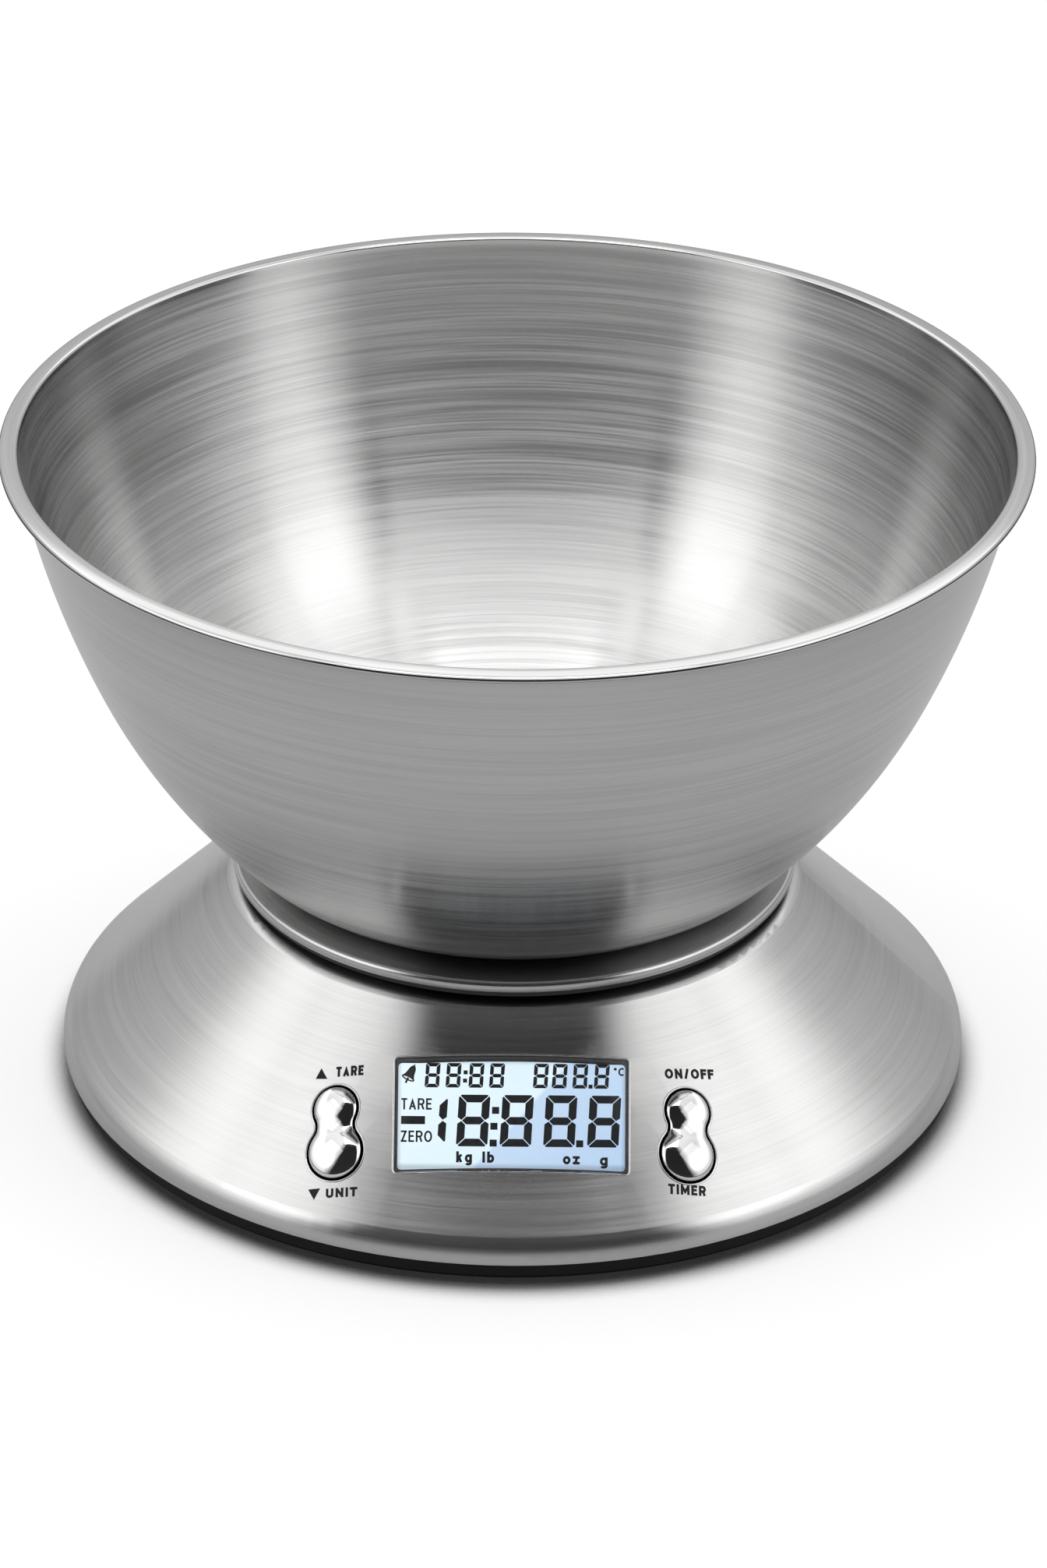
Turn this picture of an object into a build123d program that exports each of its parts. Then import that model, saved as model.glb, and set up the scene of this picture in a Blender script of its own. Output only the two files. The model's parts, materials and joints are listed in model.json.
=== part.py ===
from build123d import *
import os
from math import asin, atan2, cos, degrees, radians, sin, sqrt, tan

# Kitchen scale with a lift-off steel bowl. Millimetres, +Z up, display towards -Y,
# origin on the table under the middle of the base.

# Bowl: a flat bottom, then three arcs that lean less and less from upright.
BOWL_RIM_RADIUS = 102.0
BOWL_DEPTH = 90.6
BOWL_WALL = 0.7
BOWL_CORNER_RADIUS = 23.6
BOWL_CORNER_LEAN = 45.7
BOWL_LOWER_RADIUS = 124.8
BOWL_LOWER_LEAN = 24.2
BOWL_UPPER_RADIUS = 203.0
LIP_WIDTH = 3.8
LIP_THICKNESS = 1.3
SEAT_GAP = 0.1

# Platform that carries the bowl.
PLATFORM_RADIUS = 57.2
PLATFORM_HEIGHT = 2.0
PLATFORM_GAP = 2.8
PLATFORM_EDGE = 0.9
PLATE_THICKNESS = 0.6
GLUE = 0.1
CARRIER_THICKNESS = 2.7
CARRIER_CLEARANCE = 0.3
CARRIER_RIB_LENGTH = 78.0
CARRIER_RIB_WIDTH = 2.0
CARRIER_RIB_HEIGHT = 3.5

# Base: a conical steel cover over a moulded housing, on a moulded pan.
BASE_RADIUS = 92.4
COVER_EDGE_Z = 5.5
COVER_HEIGHT = 38.0
COVER_SKIRT = 3.3
COVER_THICKNESS = 0.6
COVER_TOP_MARGIN = 0.3
COVER_NECK_BEND = 3.2
COVER_EDGE_BEND = 6.5
COVER_HOLE_RADIUS = 50.0
SKIN_GAP = 0.2
HOUSING_WALL = 1.8
HOUSING_LEDGE = 2.0
LEAST_BEND = 0.3
FOOT_PROUD = 1.6
FOOT_RADIUS = 6.5
FOOT_POCKET = 0.8
FOOT_CIRCLE = 72.0
FOOT_EDGE = 0.5
PAN_FLOOR = 2.0
PAN_WALL = 2.2
PAN_CLEARANCE = 0.3
PAN_EDGE = 1.0
PAN_RISE = 0.3

# Housing screws and the posts that they pull together.
POST_CIRCLE = 78.0
POST_AZIMUTH = 62.0
POST_RADIUS = 3.8
POST_SPLIT = 3.4
SCREW_RADIUS = 1.4
SCREW_LENGTH = 11.0
SCREW_HEAD_RADIUS = 2.8
SCREW_HEAD_HEIGHT = 1.8
SCREW_HEAD_DEPTH = 2.6
SCREW_FIT = 0.05
SCREW_CLEARANCE = 0.3

# Load cell under the platform: fixed at -X, free at +X.
CELL_LENGTH = 75.0
CELL_WIDTH = 12.7
CELL_HEIGHT = 12.7
CELL_Z = 16.0
CELL_SLOT_LENGTH = 20.0
CELL_SLOT_HEIGHT = 9.6
CELL_SCREW_RADIUS = 2.0
CELL_SCREW_HEAD_RADIUS = 3.5
CELL_SCREW_HEAD_HEIGHT = 2.6
CELL_SCREW_REACH = 8.0
CELL_SCREW_END = 5.0
CELL_SCREW_SPACING = 10.0
CELL_SCREW_GRIP = 6.5
PEDESTAL_LENGTH = 20.0
PEDESTAL_MARGIN = 1.8
STOP_GAP = 0.8
STOP_RADIUS = 3.0
GAUGE_COAT_LENGTH = 17.0
GAUGE_COAT_WIDTH = 9.0
GAUGE_COAT_THICKNESS = 1.2

# Battery bay in the pan, with two small cells side by side and a hinged door.
BAY_Y = 40.0
BATTERY_RADIUS = 5.2
BATTERY_LENGTH = 44.5
BATTERY_NUB_RADIUS = 1.9
BATTERY_NUB_LENGTH = 1.0
BATTERY_GAP = 0.4
CONTACT_THICKNESS = 0.4
CONTACT_FIT = 0.1
CONTACT_TAB_WIDTH = 4.0
CONTACT_TAB_RISE = 3.0
CONTACT_MARGIN = 0.6
LEAF_REACH = 5.0
LEAF_HALF_SPAN = 4.0
LEAF_WIDTH = 6.0
LEAF_THICKNESS = 0.35
BAY_WALL = 2.4
BAY_CEILING = 1.6
DOOR_THICKNESS = 1.6
DOOR_LEDGE = 1.4
DOOR_GAP = 0.5
DOOR_CORNER = 1.5
DOOR_TAB_WIDTH = 6.0
DOOR_TAB_SPACING = 30.0
DOOR_TAB_REACH = 2.0
DOOR_TAB_THICKNESS = 0.7
DOOR_NIB_WIDTH = 8.0
DOOR_NIB_REACH = 0.35
DOOR_GRIP_LENGTH = 12.0
DOOR_GRIP_WIDTH = 4.0
DOOR_GRIP_DEPTH = 0.6

# Display, set into the front of the cone. Its middle is up the slope from half-way.
WINDOW_WIDTH = 45.8
WINDOW_HEIGHT = 23.25
WINDOW_CORNER = 0.8
WINDOW_RISE = 3.0
LENS_GAP = 0.15
LENS_SINK = 0.05
LENS_LEDGE = 0.7
GLASS_WIDTH = 47.2
GLASS_HEIGHT = 25.0
GLASS_DEPTH = 4.6
GLASS_THICKNESS = 2.4
GLASS_GAP = 0.2
BACKLIGHT_HEIGHT = 22.0
BACKLIGHT_MARGIN = 0.2
STRIP_HEIGHT = 2.0
STRIP_MARGIN = 0.3
FRAME_DEPTH = 6.6
FRAME_WALL = 1.2
BOARD_DEPTH = 10.2
BOARD_WIDTH = 51.0
BOARD_HEIGHT = 39.0
BOARD_THICKNESS = 1.6
BOARD_CORNER = 1.5
BOARD_SCREW_X = 18.0
BOARD_SCREW_Y = 16.5
BOSS_RADIUS = 2.4
SMALL_SCREW_RADIUS = 0.9
SMALL_SCREW_HEAD_RADIUS = 1.7
SMALL_SCREW_HEAD_HEIGHT = 1.1
SMALL_SCREW_LENGTH = 4.5
CHIP_RADIUS = 6.0
CHIP_HEIGHT = 1.4
CHIP_TAPER = 30.0
BUZZER_RADIUS = 6.0
BUZZER_HEIGHT = 5.0
BUZZER_HOLE = 1.0
BUZZER_PLACE = (-14.0, -9.0)
THERMISTOR_RADIUS = 1.3
THERMISTOR_HEIGHT = 3.2
THERMISTOR_PLACE = (15.0, 10.0)

# Rocker keys, one each side of the display, two lobes on a waist.
KEY_AZIMUTH = 26.3
KEY_DROP = 4.15
KEY_UPPER_RADIUS = 4.4
KEY_LOWER_RADIUS = 5.4
KEY_LOBE_SPACING = 8.75
KEY_WAIST_RADIUS = 3.55
KEY_PROUD = 1.3
KEY_EDGE = 1.0
KEY_GAP = 0.5
KEY_DEPTH = 5.2
KEY_FLANGE = 0.9
KEY_FLANGE_HEIGHT = 1.0
KEY_POST_RADIUS = 1.2
KEY_POST_LENGTH = 2.0
KEY_REST_GAP = 0.35
PIVOT_DEPTH = 3.8
PIVOT_RADIUS = 0.7
PIVOT_RUNNING_FIT = 0.08
PIVOT_SEAT_FIT = 0.02
EAR_GAP = 0.8
EAR_THICKNESS = 1.6
EAR_WIDTH = 3.6
SWITCH_SIZE = 6.0
SWITCH_HEIGHT = 3.4
PLUNGER_RADIUS = 1.7
PLUNGER_HEIGHT = 0.9
KEY_BOARD_THICKNESS = 1.2
KEY_BOARD_MARGIN = 2.4
KEY_BOSS_RADIUS = 2.2
KEY_BOSS_GAP = 0.7

# Wiring, held inside the base.
LEAD_RADIUS = 0.7
LEAD_BEND = 5.0
LEAD_BEND_SHARE = 0.8
LEAD_PLUS_X = 14.0
LEAD_PLUS_BOARD_X = 8.0
LEAD_MINUS_X = 10.0
LEAD_MINUS_BOARD_X = 4.0
LEAD_BOARD_Y = 8.0
CABLE_BOARD_X = -8.0
CABLE_RADIUS = 1.2
CABLE_BEND = 6.0

# Heights from the table up.
PAN_Z = FOOT_PROUD
FLOOR_Z = PAN_Z + PAN_FLOOR
SPLIT_Z = COVER_EDGE_Z + PAN_RISE
COVER_TOP_Z = COVER_EDGE_Z + COVER_HEIGHT
SKIRT_Z = COVER_TOP_Z + PLATFORM_GAP
SEAT_Z = SKIRT_Z + PLATFORM_HEIGHT
BOWL_Z = SEAT_Z + SEAT_GAP
CARRIER_TOP_Z = SEAT_Z - PLATE_THICKNESS - GLUE
CARRIER_Z = CARRIER_TOP_Z - CARRIER_THICKNESS
CELL_TOP_Z = CELL_Z + CELL_HEIGHT
POST_Z = FLOOR_Z + POST_SPLIT
BAY_Z = PAN_Z + DOOR_THICKNESS + BATTERY_GAP / 4

# The cone's slope follows from the base's and the platform's radii.
COVER_TOP_RADIUS = PLATFORM_RADIUS + COVER_TOP_MARGIN
KNEE_Z = COVER_EDGE_Z + COVER_SKIRT
SLOPE_RUN = BASE_RADIUS - COVER_TOP_RADIUS
SLOPE_RISE = COVER_TOP_Z - KNEE_Z
SLOPE = atan2(SLOPE_RISE, SLOPE_RUN)
SLOPE_MIDDLE = sqrt(SLOPE_RUN**2 + SLOPE_RISE**2) / 2
HOUSING_OUT = COVER_THICKNESS + SKIN_GAP
HOUSING_IN = HOUSING_OUT + HOUSING_WALL
PAN_RADIUS = BASE_RADIUS - COVER_THICKNESS - PAN_CLEARANCE


def on_slope(distance_down, azimuth):
    """Point on the cone and its outward normal, by distance down from the top edge."""
    radius = COVER_TOP_RADIUS + distance_down * cos(SLOPE)
    height = COVER_TOP_Z - distance_down * sin(SLOPE)
    side = sin(radians(azimuth))
    front = -cos(radians(azimuth))
    point = Vector(radius * side, radius * front, height)
    normal = Vector(sin(SLOPE) * side, sin(SLOPE) * front, cos(SLOPE))
    return point, normal


panel_point, panel_normal = on_slope(SLOPE_MIDDLE - WINDOW_RISE, 0)
PANEL = Plane(panel_point, x_dir=(1, 0, 0), z_dir=panel_normal)

# A key stands upright as seen from the front, so its long side has no X.
key_point, key_normal = on_slope(SLOPE_MIDDLE + KEY_DROP, KEY_AZIMUTH)
key_up = Vector(0, key_normal.Z, -key_normal.Y).normalized()
KEY = Plane(key_point, x_dir=key_up.cross(key_normal), z_dir=key_normal)

# The waist is where a circle outside the key touches both lobes.
upper_side = KEY_WAIST_RADIUS + KEY_UPPER_RADIUS
lower_side = KEY_WAIST_RADIUS + KEY_LOWER_RADIUS
LOBE_UP = (upper_side**2 - lower_side**2 + KEY_LOBE_SPACING**2) / (2 * KEY_LOBE_SPACING)
LOBE_DOWN = KEY_LOBE_SPACING - LOBE_UP
WAIST_CENTRE = sqrt(upper_side**2 - LOBE_UP**2)
WAIST_HALF = WAIST_CENTRE - KEY_WAIST_RADIUS


def skin_points(inset, low_z, hole_radius):
    """Corners of the base's section, moved inwards from the steel's outer face."""
    top_z = COVER_TOP_Z - inset
    side_radius = BASE_RADIUS - inset
    return [
        (hole_radius, top_z),
        (COVER_TOP_RADIUS - inset * tan(SLOPE / 2), top_z),
        (side_radius, KNEE_Z - inset * tan((radians(90) - SLOPE) / 2)),
        (side_radius, low_z),
    ]


def skin_bends(inset):
    """Radii of the two bends of the base's section at the same inset."""
    edge_room = (COVER_SKIRT - PAN_RISE) / tan((radians(90) - SLOPE) / 2)
    edge_bend = min(COVER_EDGE_BEND, edge_room - LEAST_BEND)
    return [max(bend - inset, LEAST_BEND) for bend in (COVER_NECK_BEND, edge_bend)]


def skin_section(outer, inner, low_z, hole_radius):
    """Section of a shell between two insets of the base's outer face."""
    with BuildSketch(Plane.XZ) as section:
        with BuildLine():
            out_line = FilletPolyline(*skin_points(outer, low_z, hole_radius), radius=skin_bends(outer))
            in_line = FilletPolyline(*skin_points(inner, low_z, hole_radius), radius=skin_bends(inner))
            Line(out_line @ 0, in_line @ 0)
            Line(out_line @ 1, in_line @ 1)
        make_face()
    return section.sketch


def key_outline(grow):
    """Two-lobed outline, grown evenly all round, with its waist at the origin."""
    upper = KEY_UPPER_RADIUS + grow
    lower = KEY_LOWER_RADIUS + grow
    waist = WAIST_HALF + grow
    upper_x = WAIST_CENTRE * upper / upper_side
    upper_y = LOBE_UP * (1 - upper / upper_side)
    lower_x = WAIST_CENTRE * lower / lower_side
    lower_y = -LOBE_DOWN * (1 - lower / lower_side)
    with BuildSketch() as outline:
        with BuildLine():
            ThreePointArc((-upper_x, upper_y), (0, LOBE_UP + upper), (upper_x, upper_y))
            ThreePointArc((upper_x, upper_y), (waist, 0), (lower_x, lower_y))
            ThreePointArc((lower_x, lower_y), (0, -LOBE_DOWN - lower), (-lower_x, lower_y))
            ThreePointArc((-lower_x, lower_y), (-waist, 0), (-upper_x, upper_y))
        make_face()
    return outline.sketch


def cross_plane(plane, depth):
    """Plane across a key at its pivot, with its normal along the pivot."""
    return Plane(plane.from_local_coords((0, 0, -depth)), x_dir=plane.y_dir, z_dir=plane.x_dir)


def save(part, name):
    part.label = name
    export_step(part, f"parts/{name}.step")


os.makedirs("parts", exist_ok=True)

# Bowl, turned from a wall of even thickness, with a folded lip.
corner_lean = radians(BOWL_CORNER_LEAN)
lower_lean = radians(BOWL_LOWER_LEAN)
corner_top = BOWL_CORNER_RADIUS * (1 - sin(corner_lean))
lower_top = corner_top + BOWL_LOWER_RADIUS * (sin(corner_lean) - sin(lower_lean))
mouth_z = BOWL_DEPTH - LIP_THICKNESS / 2
mouth_lean = asin(sin(lower_lean) - (mouth_z - lower_top) / BOWL_UPPER_RADIUS)
corner_run = BOWL_CORNER_RADIUS * cos(corner_lean)
lower_run = BOWL_LOWER_RADIUS * (cos(lower_lean) - cos(corner_lean))
upper_run = BOWL_UPPER_RADIUS * (cos(mouth_lean) - cos(lower_lean))
mouth_radius = BOWL_RIM_RADIUS - LIP_WIDTH + BOWL_WALL
bowl_flat = mouth_radius - corner_run - lower_run - upper_run


def bowl_line(inset):
    """Half of the bowl's section, moved inwards from its outer face."""
    with BuildLine() as line:
        flat = Line((0, inset), (bowl_flat, inset))
        corner = JernArc(flat @ 1, flat % 1, BOWL_CORNER_RADIUS - inset, 90 - BOWL_CORNER_LEAN)
        lower_arc = BOWL_CORNER_LEAN - BOWL_LOWER_LEAN
        lower = JernArc(corner @ 1, corner % 1, BOWL_LOWER_RADIUS - inset, lower_arc)
        upper_arc = BOWL_LOWER_LEAN - degrees(mouth_lean)
        JernArc(lower @ 1, lower % 1, BOWL_UPPER_RADIUS - inset, upper_arc)
    return line.line


outside = bowl_line(0)
inside = bowl_line(BOWL_WALL)
with BuildPart() as bowl:
    with BuildSketch(Plane((0, 0, BOWL_Z), x_dir=(1, 0, 0), z_dir=(0, -1, 0))):
        with BuildLine():
            add(outside)
            add(inside)
            Line(outside @ 0, inside @ 0)
            Line(outside @ 1, inside @ 1)
        make_face()
        with Locations((BOWL_RIM_RADIUS - LIP_WIDTH / 2, mouth_z)):
            SlotOverall(LIP_WIDTH, LIP_THICKNESS)
    revolve(axis=Axis.Z)
save(bowl.part, "bowl")

# Platform plate: a shallow pressed cap.
with BuildPart() as platform_plate:
    with BuildSketch(Plane.XY.offset(SKIRT_Z)):
        Circle(PLATFORM_RADIUS)
    extrude(amount=PLATFORM_HEIGHT)
    fillet(platform_plate.edges().group_by(Axis.Z)[-1], PLATFORM_EDGE)
    with BuildSketch(Plane.XY.offset(SKIRT_Z)):
        Circle(PLATFORM_RADIUS - PLATE_THICKNESS)
    extrude(amount=PLATFORM_HEIGHT - PLATE_THICKNESS, mode=Mode.SUBTRACT)
save(platform_plate.part, "platform_plate")

# Screw places along the load cell, counted from each end.
near_end = CELL_LENGTH / 2 - CELL_SCREW_END
free_screws = [near_end, near_end - CELL_SCREW_SPACING]
fixed_screws = [-x for x in free_screws]
foot_middle = CELL_LENGTH / 2 - PEDESTAL_LENGTH / 2
foot_width = CELL_WIDTH + 2 * PEDESTAL_MARGIN
foot_head_z = CELL_TOP_Z + CELL_SCREW_GRIP

# Carrier: a ribbed disc with a foot that stands on the load cell's free end.
with BuildPart() as platform_carrier:
    with BuildSketch(Plane.XY.offset(CARRIER_Z)):
        Circle(PLATFORM_RADIUS - PLATE_THICKNESS - CARRIER_CLEARANCE)
    extrude(amount=CARRIER_THICKNESS)
    with BuildSketch(Plane.XY.offset(CARRIER_Z - CARRIER_RIB_HEIGHT)):
        Rectangle(CARRIER_RIB_LENGTH, CARRIER_RIB_WIDTH)
        Rectangle(CARRIER_RIB_WIDTH, CARRIER_RIB_LENGTH)
    extrude(amount=CARRIER_RIB_HEIGHT)
    with BuildSketch(Plane.XY.offset(CELL_TOP_Z)):
        with Locations((foot_middle, 0)):
            Rectangle(PEDESTAL_LENGTH, foot_width)
    extrude(amount=CARRIER_Z - CELL_TOP_Z)
    with BuildSketch(Plane.XY.offset(CELL_TOP_Z)):
        with Locations(*[(x, 0) for x in free_screws]):
            Circle(CELL_SCREW_RADIUS + SCREW_CLEARANCE)
    extrude(amount=CELL_SCREW_GRIP, mode=Mode.SUBTRACT)
    with BuildSketch(Plane.XY.offset(foot_head_z)):
        with Locations(*[(x, 0) for x in free_screws]):
            Circle(CELL_SCREW_HEAD_RADIUS + SCREW_CLEARANCE)
    extrude(amount=CARRIER_TOP_Z - foot_head_z, mode=Mode.SUBTRACT)
save(platform_carrier.part, "platform_carrier")


def cell_screws(places, head_z, toward):
    """Load cell screws with their heads resting at head_z; toward is the way they point."""
    with BuildPart() as screws:
        with BuildSketch(Plane.XY.offset(head_z)):
            with Locations(*[(x, 0) for x in places]):
                Circle(CELL_SCREW_HEAD_RADIUS)
        extrude(amount=-toward * CELL_SCREW_HEAD_HEIGHT)
        with BuildSketch(Plane.XY.offset(head_z)):
            with Locations(*[(x, 0) for x in places]):
                Circle(CELL_SCREW_RADIUS)
        extrude(amount=toward * (CELL_SCREW_GRIP + CELL_SCREW_REACH))
    return screws.part


save(cell_screws(free_screws, foot_head_z, -1), "platform_screws")
save(cell_screws(fixed_screws, CELL_Z - CELL_SCREW_GRIP, 1), "load_cell_screws")

# Load cell: a bar with a slot through its side and two holes near each end.
with BuildPart() as load_cell:
    with BuildSketch(Plane.XY.offset(CELL_Z)):
        Rectangle(CELL_LENGTH, CELL_WIDTH)
        with Locations(*[(x, 0) for x in free_screws + fixed_screws]):
            Circle(CELL_SCREW_RADIUS + SCREW_FIT, mode=Mode.SUBTRACT)
    extrude(amount=CELL_HEIGHT)
    with BuildSketch(Plane.XZ):
        with Locations((0, CELL_Z + CELL_HEIGHT / 2)):
            SlotOverall(CELL_SLOT_LENGTH, CELL_SLOT_HEIGHT)
    extrude(amount=CELL_WIDTH, both=True, mode=Mode.SUBTRACT)
save(load_cell.part, "load_cell")

with BuildPart() as gauge_coating:
    for coat_z in (CELL_TOP_Z, CELL_Z - GAUGE_COAT_THICKNESS):
        with BuildSketch(Plane.XY.offset(coat_z)):
            RectangleRounded(GAUGE_COAT_LENGTH, GAUGE_COAT_WIDTH, GAUGE_COAT_THICKNESS)
        extrude(amount=GAUGE_COAT_THICKNESS)
save(gauge_coating.part, "gauge_coating")

# Steel cover, with the window and the key openings cut square to the slope.
CUT_REACH = 2 * HOUSING_IN + KEY_PROUD
with BuildPart() as base_cover:
    revolve(skin_section(0, COVER_THICKNESS, COVER_EDGE_Z, COVER_HOLE_RADIUS), axis=Axis.Z)
    with BuildSketch(PANEL):
        RectangleRounded(WINDOW_WIDTH, WINDOW_HEIGHT, WINDOW_CORNER)
    extrude(amount=CUT_REACH, both=True, mode=Mode.SUBTRACT)
    with BuildSketch(KEY):
        add(key_outline(KEY_GAP))
    key_cut = extrude(amount=CUT_REACH, both=True, mode=Mode.SUBTRACT)
    mirror(key_cut, about=Plane.YZ, mode=Mode.SUBTRACT)
save(base_cover.part, "base_cover")

# Places of the posts, the board screws and the key board's bosses.
post_x = POST_CIRCLE * sin(radians(POST_AZIMUTH))
post_y = POST_CIRCLE * cos(radians(POST_AZIMUTH))
boss_x = KEY_LOWER_RADIUS + KEY_FLANGE + KEY_BOSS_GAP + KEY_BOSS_RADIUS
boss_places = [(boss_x, LOBE_UP + KEY_BOSS_RADIUS), (boss_x, -LOBE_DOWN - KEY_BOSS_RADIUS)]
ear_x = WAIST_HALF + KEY_FLANGE + EAR_GAP + EAR_THICKNESS / 2
ear_depth = PIVOT_DEPTH + EAR_WIDTH / 2
plunger_depth = KEY_DEPTH + KEY_POST_LENGTH + KEY_REST_GAP
key_board_depth = plunger_depth + PLUNGER_HEIGHT + SWITCH_HEIGHT

# Upper housing: a shell under the cover that carries the display, keys and posts.
with BuildPart() as upper_housing:
    revolve(skin_section(HOUSING_OUT, HOUSING_IN, SPLIT_Z, COVER_HOLE_RADIUS - HOUSING_LEDGE), axis=Axis.Z)
    with BuildSketch(Plane.XY.offset(POST_Z)):
        with GridLocations(2 * post_x, 2 * post_y, 2, 2):
            Circle(POST_RADIUS)
    extrude(amount=COVER_TOP_Z - POST_Z)
    with BuildSketch(PANEL.offset(-BOARD_DEPTH)):
        with GridLocations(2 * BOARD_SCREW_X, 2 * BOARD_SCREW_Y, 2, 2):
            Circle(BOSS_RADIUS)
    extrude(amount=BOARD_DEPTH)
    with BuildSketch(KEY.offset(-ear_depth)):
        with Locations((ear_x, 0), (-ear_x, 0)):
            Rectangle(EAR_THICKNESS, EAR_WIDTH)
    ears = extrude(amount=ear_depth)
    with BuildSketch(KEY.offset(-key_board_depth)):
        with Locations(*boss_places):
            Circle(KEY_BOSS_RADIUS)
    bosses = extrude(amount=key_board_depth)
    mirror([ears, bosses], about=Plane.YZ)
    # Everything inside stops at the housing's outer face.
    with BuildSketch(Plane.XZ):
        with BuildLine():
            rim = FilletPolyline(*skin_points(HOUSING_OUT, 0, 0), radius=skin_bends(HOUSING_OUT))
            Polyline(rim @ 1, (0, 0), rim @ 0)
        make_face()
    revolve(axis=Axis.Z, mode=Mode.INTERSECT)
    # Window, its pocket for the display glass, and the key openings.
    with BuildSketch(PANEL):
        RectangleRounded(WINDOW_WIDTH - 2 * LENS_LEDGE, WINDOW_HEIGHT - 2 * LENS_LEDGE, WINDOW_CORNER)
    extrude(amount=CUT_REACH, both=True, mode=Mode.SUBTRACT)
    with BuildSketch(PANEL.offset(GLASS_GAP - GLASS_DEPTH)):
        Rectangle(GLASS_WIDTH + 2 * GLASS_GAP, GLASS_HEIGHT + 2 * GLASS_GAP)
    extrude(amount=-BOARD_DEPTH, mode=Mode.SUBTRACT)
    with BuildSketch(KEY):
        add(key_outline(KEY_GAP))
    key_cut = extrude(amount=HOUSING_IN + EAR_GAP, both=True, mode=Mode.SUBTRACT)
    # Bores for the pivot pins and pilot holes for the screws.
    with BuildSketch(cross_plane(KEY, PIVOT_DEPTH)):
        Circle(PIVOT_RADIUS + PIVOT_SEAT_FIT)
    pivot_cut = extrude(amount=ear_x + EAR_THICKNESS, both=True, mode=Mode.SUBTRACT)
    with BuildSketch(KEY.offset(-key_board_depth)):
        with Locations(*boss_places):
            Circle(SMALL_SCREW_RADIUS + SCREW_FIT)
    boss_cut = extrude(amount=SMALL_SCREW_LENGTH, mode=Mode.SUBTRACT)
    mirror([key_cut, pivot_cut, boss_cut], about=Plane.YZ, mode=Mode.SUBTRACT)
    with BuildSketch(PANEL.offset(-BOARD_DEPTH)):
        with GridLocations(2 * BOARD_SCREW_X, 2 * BOARD_SCREW_Y, 2, 2):
            Circle(SMALL_SCREW_RADIUS + SCREW_FIT)
    extrude(amount=SMALL_SCREW_LENGTH, mode=Mode.SUBTRACT)
    with BuildSketch(Plane.XY.offset(POST_Z)):
        with GridLocations(2 * post_x, 2 * post_y, 2, 2):
            Circle(SCREW_RADIUS + SCREW_FIT)
    extrude(amount=SCREW_LENGTH, mode=Mode.SUBTRACT)
save(upper_housing.part, "upper_housing")

# Battery bay sizes, from the cells and contacts that it holds.
bay_length = BATTERY_LENGTH + LEAF_REACH + 2 * CONTACT_THICKNESS + 4 * CONTACT_FIT
bay_width = 4 * BATTERY_RADIUS + 3 * BATTERY_GAP
bay_height = 2 * BATTERY_RADIUS + 2 * BATTERY_GAP
bay_top_z = BAY_Z + bay_height
battery_z = BAY_Z + BATTERY_GAP + BATTERY_RADIUS
battery_step = BATTERY_RADIUS + BATTERY_GAP / 2
door_length = bay_length + 2 * DOOR_LEDGE
door_width = bay_width + 2 * DOOR_LEDGE
hinge_y = BAY_Y - door_width / 2
tab_z = PAN_Z + DOOR_THICKNESS - DOOR_TAB_THICKNESS
contact_x = bay_length / 2 - CONTACT_FIT - CONTACT_THICKNESS

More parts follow.
